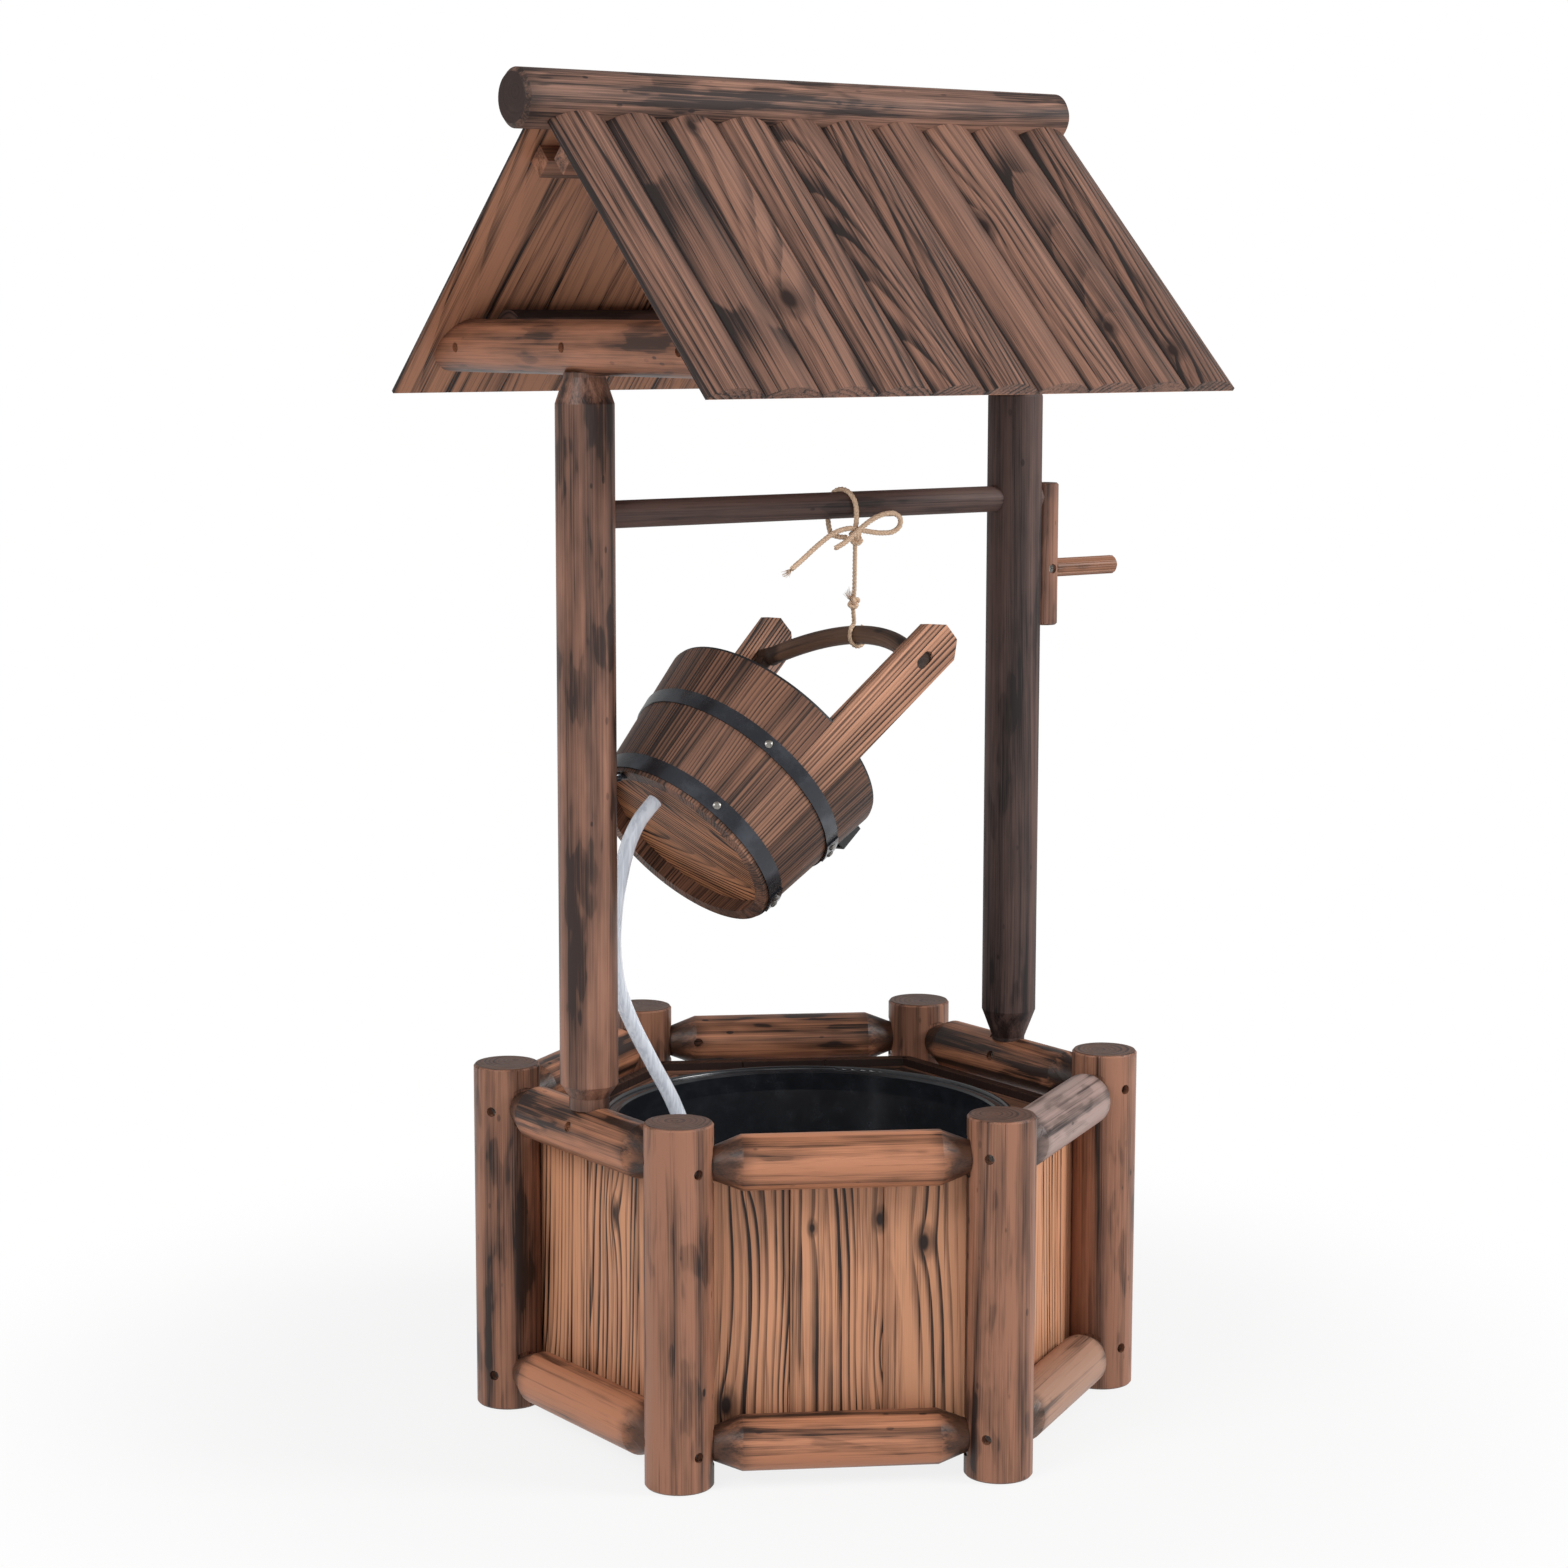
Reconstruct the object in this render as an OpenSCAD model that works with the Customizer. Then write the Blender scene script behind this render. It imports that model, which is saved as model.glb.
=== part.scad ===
// Wishing well fountain: a hexagonal log base round a black basin, two tall posts, a plank roof
// under a ridge log, a windlass with a crank, and a tipped bucket that pours back into the basin.
// Millimetres. The origin is the centre of the base on the ground, X runs along the ridge
// toward the crank, Y points to the far side and Z is up.

/* [Base] */
// Distance from the centre to the axis of each corner post
base_radius = 259; // [257:1:261]
// Height of the corner posts
post_height = 298; // [294:1:304]
// Diameter of the corner posts
post_d = 56; // [55:1:57]
// Diameter of the rails between the corner posts
rail_d = 45; // [44:1:46]
// Full thickness length of a rail
rail_body = 159; // [155:1:161]
// Diameter of a rail's point where it meets the post
rail_tip_d = 27; // [26:0.5:28]
// Distance from the corner posts' tops down to the upper rails' axis
upper_rail_drop = 34; // [32:1:36]
// Height of the lower rails' axis
lower_rail_z = 33; // [30:1:36]
// Thickness of the side boards
board_t = 10; // [9:0.5:11]
// Boards in one side panel
board_count = 3; // [2:1:4]
// Thickness of the ledge boards round the basin
ledge_t = 10; // [9:0.5:11]

/* [Basin] */
// Clear distance from the basin's rolled rim out to the side boards
rim_gap = 12.9; // [11:0.1:15]
// Wall thickness of the basin
basin_wall = 3; // [2.5:0.5:3.5]

/* [Well posts] */
// Diameter of the two tall posts
tall_d = 48; // [46:1:50]
// Height where the tall posts' upper taper begins
tall_shoulder_z = 859; // [855:1:861]
// Diameter of the tie beams across the tops of the tall posts
beam_d = 44; // [43:1:45]
// Height of the tie beams' axis
beam_z = 903.5; // [903:0.5:904]

/* [Roof] */
// Slope of the roof in degrees
roof_pitch = 44.4; // [44.2:0.1:44.6]
// Length of the roof along the ridge
roof_length = 533; // [525:1:540]
// Planks on each side of the roof
plank_count = 10; // [8:1:12]
// Length down the near slope from the ridge axis to the eave
slope_front = 325.3; // [323:0.1:330]
// Length down the far slope from the ridge axis to the eave
slope_back = 332; // [327:0.1:334]
// Thickness of a plank along its crown
plank_crown = 12; // [11:0.5:13]
// Thickness of a plank along its edges
plank_edge = 3; // [2.5:0.5:4]
// Diameter of the ridge log's thick end
ridge_d_left = 47.5; // [46:0.5:48]
// Diameter of the ridge log's thin end
ridge_d_right = 40.5; // [40:0.5:42]

/* [Windlass] */
// Diameter of the windlass axle
axle_d = 22.6; // [22:0.2:23]
// Height of the windlass axle
axle_z = 769.9; // [765:0.1:775]
// Radial running clearance of the axle in the posts
axle_play = 0.06; // [0.03:0.01:0.09]
// Diameter of the crank arm
arm_d = 23; // [22:0.5:24]
// Length of the crank arm
arm_length = 126; // [120:1:130]
// Diameter of the crank handle
handle_d = 16.5; // [16:0.5:17]
// Length of the crank handle outside the arm
handle_length = 70; // [62:1:72]

/* [Bucket] */
// Angle of the bucket's axis above level
bucket_tilt = 39.5; // [38.5:0.5:40.5]
// Turn of the bucket about the vertical
bucket_yaw = 4.9; // [4:0.1:6]
// Turn of the bucket about its own axis
bucket_spin = 6.3; // [5:0.1:7]
// Outside radius of the bucket at its bottom edge
bucket_r0 = 86.7; // [86:0.1:87]
// Outside radius of the bucket at its rim
bucket_r1 = 105.4; // [104:0.2:106]
// Height of the bucket's staves
bucket_h = 127.7; // [126:0.1:129]
// Thickness of the staves
stave_t = 10; // [9.5:0.1:10.5]
// Height of the near ear stave above the bucket's bottom edge
ear_front_h = 259; // [255:1:262]
// Height of the far ear stave above the bucket's bottom edge
ear_back_h = 271; // [260:1:274]

/* [Hose and rope] */
// Outside diameter of the clear hose
hose_d = 13; // [12:0.5:13]
// Diameter of the rope
rope_d = 3.5; // [3:0.5:3.5]

/* [Hidden] */
$fn = 64;

bark = [0.42, 0.28, 0.22];
pale = [0.70, 0.48, 0.34];
dark = [0.30, 0.23, 0.21];
black = [0.09, 0.09, 0.10];
iron = [0.20, 0.21, 0.22];
steel = [0.62, 0.62, 0.63];
jute = [0.77, 0.63, 0.50];
clear = [0.84, 0.86, 0.88];

// Seating gap between pieces that touch
seat = 0.2;
tiny = 0.1;

// Base layout: the half side, the distance from the centre to each side and the socket depths
half_side = base_radius / 2;
side_a = base_radius * cos(30);
upper_rail_z = post_height - upper_rail_drop;
post_r = post_d / 2;
rail_r = rail_d / 2;
tip_r = rail_tip_d / 2;
tip_at = half_side - post_r + 1.5;
tenon_r = tip_r - 2;
tenon_end = half_side - 17.5;
recess_r = tip_r + 3.5;
screw_off = 3.2;
hole_r = 4.2;
shank_r = 1.9;
pilot_r = 2.1;
head_r = 3.8;
head_h = 2.4;
base_screw_l = 42;
panel_out = side_a - rail_r - seat;
panel_half = half_side - sqrt(post_r * post_r - (rail_r + seat) * (rail_r + seat)) - seat;
board_low = 21;
cleat_half = 92;
ledge_top = upper_rail_z - 21;
ledge_low = ledge_top - ledge_t;
ledge_a = panel_out - board_t - seat;
panel_top = ledge_top + 3.5;
rim_r = ledge_a - rim_gap;
bowl_r = rim_r - 10.5;
ledge_in = bowl_r - 18;

// Tall posts and beams
tall_r = tall_d / 2;
beam_r = beam_d / 2;
neck_seat_z = upper_rail_z + 20;
foot_tenon_z = upper_rail_z - 2;
foot_screw_z = upper_rail_z + 7;
foot_screw_l = 22;
stub_r = 11;
neck_top_r = 17;
beam_seat_z = beam_z - beam_r + 2.5;
beam_tenon_z = beam_z + 8.5;
beam_half = 205;
beam_screw_y = 164;
beam_screw_drop = 1.5;

// Roof: S is the distance down the slope from the ridge axis and N the distance out from it
ridge_z = 1099.3;
ridge_x0 = -290;
ridge_x1 = 268;
roof_in = -5.65;
plank_pitch = roof_length / plank_count;
plank_half = plank_pitch / 2 - 0.2;
crown_rise = plank_crown - plank_edge;
crown_r = (plank_half * plank_half + crown_rise * crown_rise) / (2 * crown_rise);
batten_w = 18;
batten_s = 47;
batten_inset = 4.5;
purlin_y = 152;
purlin_z = 911;
purlin_n = purlin_y * sin(roof_pitch) + (purlin_z - ridge_z) * cos(roof_pitch);
purlin_r = roof_in - purlin_n - seat;

// Windlass
axle_r = axle_d / 2;
axle_end_x = -side_a - 8;
arm_r = arm_d / 2;
arm_x = side_a + tall_r + 0.6 + arm_r;
arm_top = axle_z + 12.6;
arm_tenon_r = 8;
handle_r = handle_d / 2;
handle_z = axle_z - 63.2;
handle_tenon_r = 5.5;
top_pin_l = 17;
side_pin_l = 12;

// Bucket: local +X is the pouring side, local Z the axis from the bottom edge to the rim
bucket_at = [91.1 - side_a, 0, 493.2];
flare = (bucket_r1 - bucket_r0) / bucket_h;
stave_count = 16;
stave_half = 180 / stave_count - 0.09;
ear_half = 20.4;
slot_z = 225;
slot_r = 5;
slot_rise = 3.5;
floor_z = 14;
floor_t = 10;
liner_wall = 2;
lip_z = bucket_h + seat;
hose_hole = [-38, 14];
rivet_a = -117;
lap_a = -38;
hoop_t = 1.2;
bail_r = 8;
bail_arc_r = 187;
bail_top_z = 257;
bail_half_a = 31;
spout_half = 13;
spout_x = 116.5;
spout_low = 113;
hoop_low = [3.7, 17.8];
hoop_high = [71, 84.1];
spacer_local = [-81.5, 0, 0];
spacer_z = to_world(spacer_local)[2];
spacer_x = to_world(spacer_local)[0];
spacer_y = to_world(spacer_local)[1];

// Pump, standing on the basin's floor
pump_inset = 197;
pump_at = [pump_inset - base_radius, 40];
basin_floor = 6;
cup_h = 6;
pump_z = basin_floor + cup_h + 0.1;
pump_l = 62;
pump_w = 46;
pump_h = 44;
foot_dx = [-28, 10];
foot_dy = 17;
impeller_z = pump_z + 20;
impeller_x = pump_at[0] + 20;
outlet_x = pump_at[0] - 18;
outlet_z = pump_z + pump_h + 14;

// Soft routes
hose_r = hose_d / 2;
rope_r = rope_d / 2;
sling_x = 27;
sling_r = axle_r + 0.3 + rope_r;

// A point of the bucket's own frame in the frame of the whole object
function turn_z(p, a) = [p[0] * cos(a) - p[1] * sin(a), p[0] * sin(a) + p[1] * cos(a), p[2]];
function turn_y(p, a) = [p[0] * cos(a) + p[2] * sin(a), p[1], -p[0] * sin(a) + p[2] * cos(a)];
function to_world(p) = bucket_at
  + turn_z(turn_y(turn_z(p, -bucket_spin), 90 - bucket_tilt), bucket_yaw);

// Outside radius of the staves at a height
function stave_r(z) = bucket_r0 + flare * z;

// Smooth route through chosen points, and the tube swept along it
function unit(v) = v / max(norm(v), 0.000001);
function knot_at(p, i) = p[min(max(i, 0), len(p) - 1)];
function bend(a, b, c, d, t) = 0.5 * (2 * b + (c - a) * t
  + (2 * a - 5 * b + 4 * c - d) * t * t + (3 * b - a - 3 * c + d) * t * t * t);
function smooth(p, n) = concat(
  [for (i = [0:len(p) - 2], j = [0:n - 1])
    bend(knot_at(p, i - 1), p[i], p[i + 1], knot_at(p, i + 2), j / n)],
  [p[len(p) - 1]]);
function heading(p, i) = unit(knot_at(p, i + 1) - knot_at(p, i - 1));
function sideways(v) = unit(cross(v, abs(v[2]) < 0.8 ? [0, 0, 1] : [1, 0, 0]));
function carry(n, t) = unit(n - (n * t) * t);
function frames(p) = [for (i = 0, n = sideways(heading(p, 0)); i < len(p);
  i = i + 1, n = carry(n, heading(p, i))) n];
function route_length(p) = len(p) < 2 ? 0 : [for (i = [1:len(p) - 1]) norm(p[i] - p[i - 1])]
  * [for (i = [1:len(p) - 1]) 1];
// Least clear distance between stretches of a tube that are not neighbours
function self_gap(p, r, skip) = min([for (i = [0:len(p) - 2], j = [i:len(p) - 1])
  if (j - i > skip) norm(p[i] - p[j]) - 2 * r]);

module tube(p, r, sides) {
  n = frames(p);
  count = len(p);
  rings = [for (i = [0:count - 1], k = [0:sides - 1])
    p[i] + r * (cos(k * 360 / sides) * n[i] + sin(k * 360 / sides) * cross(heading(p, i), n[i]))];
  walls = [for (i = [0:count - 2], k = [0:sides - 1], h = [0:1])
    let (a = i * sides + k, b = i * sides + (k + 1) % sides)
      h == 0 ? [a, a + sides, b] : [b, a + sides, b + sides]];
  head = [for (k = [0:sides - 1]) k];
  tail = [for (k = [sides - 1:-1:0]) (count - 1) * sides + k];
  polyhedron(points = rings, faces = concat(walls, [head], [tail]), convexity = 8);
}

hose_start = to_world([hose_hole[0], hose_hole[1], floor_z + 9]);
hose_out = to_world([hose_hole[0], hose_hole[1], floor_z - 6]);
hose_fall = [for (p = [[-29.4, 16.9, 21.5], [-37.4, 17.6, 7.7], [-42.6, 18.8, -7.4],
  [-45.7, 20.4, -23.1], [-49.1, 23.2, -49.2], [-47.8, 28.4, -83.2], [-39.8, 33.4, -118.6],
  [-25.2, 37, -151], [-3.8, 39.6, -187.5]]) bucket_at + p];
hose_route = concat([hose_start, hose_out], hose_fall, [[outlet_x - 32, 40, 262],
  [outlet_x - 13, 40, 212], [outlet_x - 3, 40, 158], [outlet_x, 40, 108],
  [outlet_x, 40, outlet_z + 0.1]]);
hose_path = smooth(hose_route, 2);

sling_turn = [for (k = [0:11]) [sling_x + 1.1 * k, sling_r * sin(120 - k * 20.4),
  axle_z + sling_r * cos(120 - k * 20.4)]];
sling_route = concat([[33.5, -7, 743], [29, -1, 743.5], [26, 6, 747]], sling_turn,
  [[40, -12, 757], [40, -10.3, 749], [40, -10, 742]]);

bow_route = [[-27, -11, 719], [-16, -12, 727], [-1, -12.8, 738], [15, -13.6, 747.5],
  [31, -14.2, 751], [46, -14.2, 748.5], [60, -14.2, 746.3], [69.5, -13.8, 745.8],
  [77.5, -14, 746.4], [83.9, -14.8, 750.6], [84, -16, 757.4], [77.5, -17.2, 761.8],
  [69.5, -18.2, 762.6], [58, -19.2, 760.6], [46, -19.8, 755.5], [34, -19.3, 747.5],
  [24, -18, 740], [14, -17, 735]];

wrap_r = bail_r + 0.3 + rope_r;
function wrap_point(a, y, r) = to_world([r * sin(a), y, bail_top_z + r * cos(a)]);
drop_wrap = [for (k = [0:12]) wrap_point(-80 - k * 24, 0.56 * k - 3, wrap_r + max(2.2 - 1.2 * k, 0))];
drop_route = concat([[40, -10, 741.9], [41.3, -8.6, 733], [45, -3.5, 715], [49.3, 2.6, 697],
  [53.4, 9.4, 681]], drop_wrap);

echo(hose_length_mm = route_length(hose_path), hose_rings = len(hose_path),
  hose_gap_mm = self_gap(hose_path, hose_r, 4));
echo(sling_length_mm = route_length(sling_route), sling_gap_mm = self_gap(sling_route, rope_r, 3));
echo(bow_length_mm = route_length(bow_route), bow_gap_mm = self_gap(bow_route, rope_r, 2));
echo(drop_length_mm = route_length(drop_route), drop_gap_mm = self_gap(drop_route, rope_r, 3));

// A round bar along X from x0 to x1
module bar_x(x0, x1, r) {
  translate([x0, 0, 0]) rotate([0, 90, 0]) cylinder(h = x1 - x0, r = r);
}

// A wood screw along +Z: the head's top face lies at zero and the shank runs down
module screw(length) {
  difference() {
    union() {
      translate([0, 0, -head_h]) cylinder(h = head_h, r1 = shank_r, r2 = head_r);
      translate([0, 0, -length]) cylinder(h = length - 1.2, r = shank_r);
      translate([0, 0, -length - 3]) cylinder(h = 3, r1 = 0.4, r2 = shank_r);
    }
    for (a = [0, 90]) rotate([0, 0, a]) translate([-2.4, -0.45, -1.1]) cube([4.8, 0.9, 2]);
  }
}

// The counterbored and countersunk hole that the screw sits in
module screw_hole(length, deep) {
  cylinder(h = deep, r = hole_r);
  translate([0, 0, -head_h]) cylinder(h = head_h, r1 = pilot_r, r2 = head_r + 0.15);
  translate([0, 0, -length - 3.5]) cylinder(h = length + 3, r = pilot_r);
}

// Places children with local +Z along the line from corner post i toward its next or last rail
module on_corner(i, next, z) {
  rotate([0, 0, 60 * i - 30]) translate([base_radius, 0, z])
    rotate([0, 0, next ? 120 : -120]) rotate([0, 90, 0]) children();
}

module socket_cut() {
  translate([0, 0, half_side - tenon_end - seat]) cylinder(h = post_r, r = tenon_r + 0.15);
  translate([0, 0, half_side - tip_at - seat]) cylinder(h = post_r, r = recess_r);
}

// Places children where a rail's screw head lies, local +Z out of the post
module at_base_screw(i, next, z) {
  on_corner(i, next, z + (next ? screw_off : -screw_off)) translate([0, 0, 8 - post_r])
    rotate([180, 0, 0]) children();
}

module corner_post(i) {
  color(bark) difference() {
    rotate([0, 0, 60 * i - 30]) translate([base_radius, 0, 0]) {
      cylinder(h = 1.5, r1 = post_r - 1.2, r2 = post_r);
      translate([0, 0, 1.5]) cylinder(h = post_height - 3.5, r = post_r);
      translate([0, 0, post_height - 2]) cylinder(h = 2, r1 = post_r, r2 = post_r - 1.6);
    }
    for (z = [upper_rail_z, lower_rail_z]) {
      on_corner(i, true, z) socket_cut();
      on_corner(i, false, z) socket_cut();
      at_base_screw(i, true, z) screw_hole(base_screw_l, 9);
      at_base_screw(i, false, z) screw_hole(base_screw_l, 9);
    }
  }
}

// A rail lying along Y at the origin, its outer side toward +X, turned at both ends
module rail_blank() {
  rotate([-90, 0, 0]) difference() {
    union() {
      translate([0, 0, -rail_body / 2]) cylinder(h = rail_body, r = rail_r);
      for (m = [0, 180]) rotate([m, 0, 0]) {
        translate([0, 0, rail_body / 2])
          cylinder(h = tip_at - rail_body / 2, r1 = rail_r, r2 = tip_r);
        translate([0, 0, tip_at - 1]) cylinder(h = tenon_end - tip_at + 1, r = tenon_r);
      }
    }
    translate([0, screw_off, tenon_end - 26]) cylinder(h = 30, r = pilot_r);
    translate([0, -screw_off, -tenon_end - 4]) cylinder(h = 30, r = pilot_r);
  }
}

module on_side(i, z) {
  rotate([0, 0, 60 * i]) translate([side_a, 0, z]) children();
}

module upper_rail(i) {
  foot = (i == 3 || i == 6);
  color(bark) difference() {
    on_side(i, upper_rail_z) rail_blank();
    if (foot) on_side(i, 0) {
      translate([0, 0, neck_seat_z]) cylinder(h = 20, r = 17.4);
      translate([0, 0, foot_tenon_z - 0.3]) cylinder(h = 40, r = stub_r + tiny);
    }
    if (foot) at_foot_screw(i == 3 ? -1 : 1) screw_hole(foot_screw_l, 12);
    if (i == 1) on_side(i, upper_rail_z + 2)
      rotate([0, -90, 0]) translate([0, 78, rail_r - 9]) cylinder(h = 12, r = hole_r);
  }
}

// Places children where the screw into a tall post's foot has its head, on the rail's left face
module at_foot_screw(side) {
  translate([side * side_a + 6 - rail_r, 0, foot_screw_z]) rotate([0, -90, 0]) children();
}

module lower_rail(i) {
  color(bark) on_side(i, lower_rail_z) rail_blank();
}

// One board of a side panel, its long edges eased
module board(w, h) {
  linear_extrude(height = h) polygon([[0, 0.2], [board_t - 1, 0.2], [board_t, 1.2],
    [board_t, w - 1.2], [board_t - 1, w - 0.2], [0, w - 0.2]]);
}

module side_panel(i) {
  w = 2 * panel_half / board_count;
  color(pale) rotate([0, 0, 60 * i]) for (k = [0:board_count - 1]) intersection() {
    translate([panel_out - board_t, k * w - panel_half, board_low])
      board(w, panel_top - board_low);
    linear_extrude(height = panel_top + 1)
      polygon([[2 * seat, 0], [side_a, -(side_a - 2 * seat) * tan(30)],
        [side_a, (side_a - 2 * seat) * tan(30)]]);
  }
}

module panel_cleats() {
  in_a = panel_out - board_t - seat;
  color(bark) for (i = [1:6], z = [42, ledge_low - seat - batten_w]) rotate([0, 0, 60 * i])
    difference() {
      translate([in_a - batten_w, -cleat_half, z]) cube([batten_w, 2 * cleat_half, batten_w]);
      for (m = [-1, 1]) translate([in_a - batten_w, m * cleat_half, z]) rotate([0, 0, m * 60])
        translate([-20, m > 0 ? 0 : -20, -1]) cube([60, 20, batten_w + 2]);
    }
}

module basin_ledge() {
  color(bark) for (i = [1:6]) difference() {
    rotate([0, 0, 60 * i]) translate([0, 0, ledge_low]) linear_extrude(height = ledge_t)
      polygon([[ledge_in, seat - ledge_in * tan(30)], [ledge_a, seat - ledge_a * tan(30)],
        [ledge_a, ledge_a * tan(30) - seat], [ledge_in, ledge_in * tan(30) - seat]]);
    translate([0, 0, ledge_low - 1]) cylinder(h = ledge_t + 2, r = bowl_r + 1.5);
  }
}

module basin() {
  foot_r = bowl_r - 40;
  color(black) {
    rotate_extrude() polygon([[0, basin_floor - basin_wall], [foot_r - 16, basin_floor - basin_wall],
      [foot_r - 16, 0], [foot_r, 0], [foot_r + 12, 9], [bowl_r, ledge_low - 4],
      [bowl_r, ledge_top + 0.2], [rim_r - 3, ledge_top + 0.2], [rim_r - 3, ledge_top + 3.4],
      [bowl_r - basin_wall + 1.5, ledge_top + 3.4], [bowl_r - basin_wall, ledge_top + 1.6],
      [bowl_r - basin_wall, ledge_low - 4], [foot_r + 9, 12], [foot_r - 2, basin_floor],
      [0, basin_floor]]);
    translate([0, 0, ledge_top + 3.1]) rotate_extrude() translate([rim_r - 2.9, 0])
      circle(r = 2.9);
  }
}

module base_screws() {
  color(steel) for (i = [1:6], z = [upper_rail_z, lower_rail_z], next = [true, false])
    at_base_screw(i, next, z) screw(base_screw_l);
}

// A tall post: its neck's radius and length and the length of the taper above the neck
module tall_post(neck_r, neck_l, taper_l) {
  taper_low = neck_seat_z + neck_l;
  cylinder_from(foot_tenon_z, neck_seat_z + 1, stub_r, stub_r);
  cylinder_from(neck_seat_z + tiny, taper_low, neck_r, neck_r);
  cylinder_from(taper_low, taper_low + taper_l, neck_r, tall_r);
  cylinder_from(taper_low + taper_l, tall_shoulder_z, tall_r, tall_r);
  cylinder_from(tall_shoulder_z, beam_seat_z - 4, tall_r, neck_top_r);
  cylinder_from(beam_seat_z - 4, beam_seat_z - tiny, neck_top_r, neck_top_r);
  cylinder_from(beam_seat_z - 1, beam_tenon_z, stub_r, stub_r);
}

module cylinder_from(z0, z1, ra, rb) {
  translate([0, 0, z0]) cylinder(h = z1 - z0, r1 = ra, r2 = rb);
}

module well_post_left() {
  color(bark) difference() {
    translate([-side_a, 0, 0]) tall_post(tall_r - 7.5, 10, 11);
    translate([0, 0, axle_z]) bar_x(axle_end_x - 0.3, -side_a + 40, axle_r + axle_play);
    translate([-side_a, 0, foot_screw_z]) bar_x(-20, 20, pilot_r);
    translate([-side_a, 0, beam_z]) bar_x(-20, 6, pilot_r);
    translate([0, spacer_y, spacer_z]) bar_x(-side_a - 6, -side_a + 40, 2.6);
  }
}

module well_post_right() {
  color(dark) difference() {
    translate([side_a, 0, 0]) tall_post(tall_r - 9.5, 3, 25);
    translate([0, 0, axle_z]) bar_x(side_a - 40, side_a + 40, axle_r + axle_play);
    translate([side_a, 0, foot_screw_z]) bar_x(-20, 20, pilot_r);
    translate([side_a, 0, beam_z]) bar_x(-6, 20, pilot_r);
  }
}

// The slope frame of the far roof side: X along the ridge, Y down the slope, Z out of the roof
module far_slope() {
  translate([0, 0, ridge_z]) rotate([-roof_pitch, 0, 0]) children();
}

module near_slope() {
  rotate([0, 0, 180]) far_slope() children();
}

module tie_beam(side) {
  difference() {
    translate([side * side_a, -beam_half, beam_z]) rotate([-90, 0, 0])
      cylinder(h = 2 * beam_half, r = beam_r);
    far_slope() translate([-400, 0, roof_in - seat]) cube([800, 500, 60]);
    near_slope() translate([-400, 0, roof_in - seat]) cube([800, 500, 60]);
    for (m = [0, 180]) rotate([0, 0, m]) translate([-400, beam_half - 4, beam_z - 8])
      rotate([-72, 0, 0]) cube([800, 60, 30]);
    translate([side * side_a, 0, beam_z - beam_r - 5]) {
      cylinder(h = beam_seat_z - beam_z + beam_r + 5, r = neck_top_r + 0.3);
      cylinder(h = beam_tenon_z - beam_z + beam_r + 5.3, r = stub_r + tiny);
    }
    at_beam_screws(side) screw_hole($length, 30);
  }
}

// Places children at the three screw heads of a tie beam, each with its own screw length
module at_beam_screws(side) {
  rotate([0, 0, side > 0 ? 0 : 180]) for (k = [-1:1])
    translate([side_a + beam_r - 7, k * beam_screw_y, beam_z - abs(k) * beam_screw_drop])
      rotate([0, 90, 0]) let ($length = k == 0 ? 18 : 46) children();
}

module tie_beam_left() {
  color(bark) tie_beam(-1);
}

module tie_beam_right() {
  color(dark) tie_beam(1);
}

// Screws through the tie beams into posts and purlins, and through the upper rails into the posts
module frame_screws() {
  color(steel) for (side = [-1, 1]) {
    at_beam_screws(side) screw($length);
    at_foot_screw(side) screw(foot_screw_l);
  }
}

// The tapered ridge log grown by a margin, its upper edge level
module ridge_shape(grow, x0, x1, bevel) {
  r0 = ridge_d_left / 2;
  r1 = ridge_d_right / 2;
  slope = (r0 - r1) / (ridge_x1 - ridge_x0);
  translate([ridge_x0, 0, ridge_z + 20.7 - r0]) rotate([0, 90 - atan(slope), 0])
    translate([0, 0, x0 - ridge_x0]) {
      cylinder(h = bevel, r1 = r0 + grow - bevel, r2 = r0 + grow - slope * bevel);
      translate([0, 0, bevel]) cylinder(h = x1 - x0 - 2 * bevel,
        r1 = r0 + grow - slope * bevel, r2 = r0 + grow - slope * (x1 - x0 - bevel));
      translate([0, 0, x1 - x0 - bevel]) cylinder(h = bevel,
        r1 = r0 + grow - slope * (x1 - x0 - bevel), r2 = r1 + grow - bevel);
    }
}

module ridge_log() {
  color(bark) ridge_shape(0, ridge_x0, ridge_x1, 4);
}

// One roof plank of a length in the slope frame, domed on top, its middle at x
module plank(x, length) {
  intersection() {
    translate([x, 0, roof_in + plank_crown - crown_r]) rotate([-90, 0, 0])
      cylinder(h = length, r = crown_r);
    translate([x - plank_half, 4, roof_in]) cube([2 * plank_half, length - 4, 40]);
  }
}

module roof_front() {
  color(dark) for (k = [0:plank_count - 1]) difference() {
    near_slope() plank((k + 0.5) * plank_pitch - roof_length / 2, slope_front);
    ridge_shape(seat, ridge_x0 - 0.5, ridge_x1 + 0.5, 0.5);
  }
}

module roof_back() {
  color(dark) for (k = [0:plank_count - 1]) difference() {
    far_slope() plank((k + 0.5) * plank_pitch - roof_length / 2, slope_back);
    ridge_shape(seat, ridge_x0 - 0.5, ridge_x1 + 0.5, 0.5);
  }
}

module batten(x0, x1) {
  translate([x0, batten_s, roof_in - tiny - batten_w]) cube([x1 - x0, batten_w, batten_w]);
}

module roof_battens() {
  color(bark) {
    near_slope() batten(batten_inset - roof_length / 2, roof_length / 2 - batten_inset);
    far_slope() batten(batten_inset + 16 - roof_length / 2, roof_length / 2 - batten_inset);
  }
}

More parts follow.
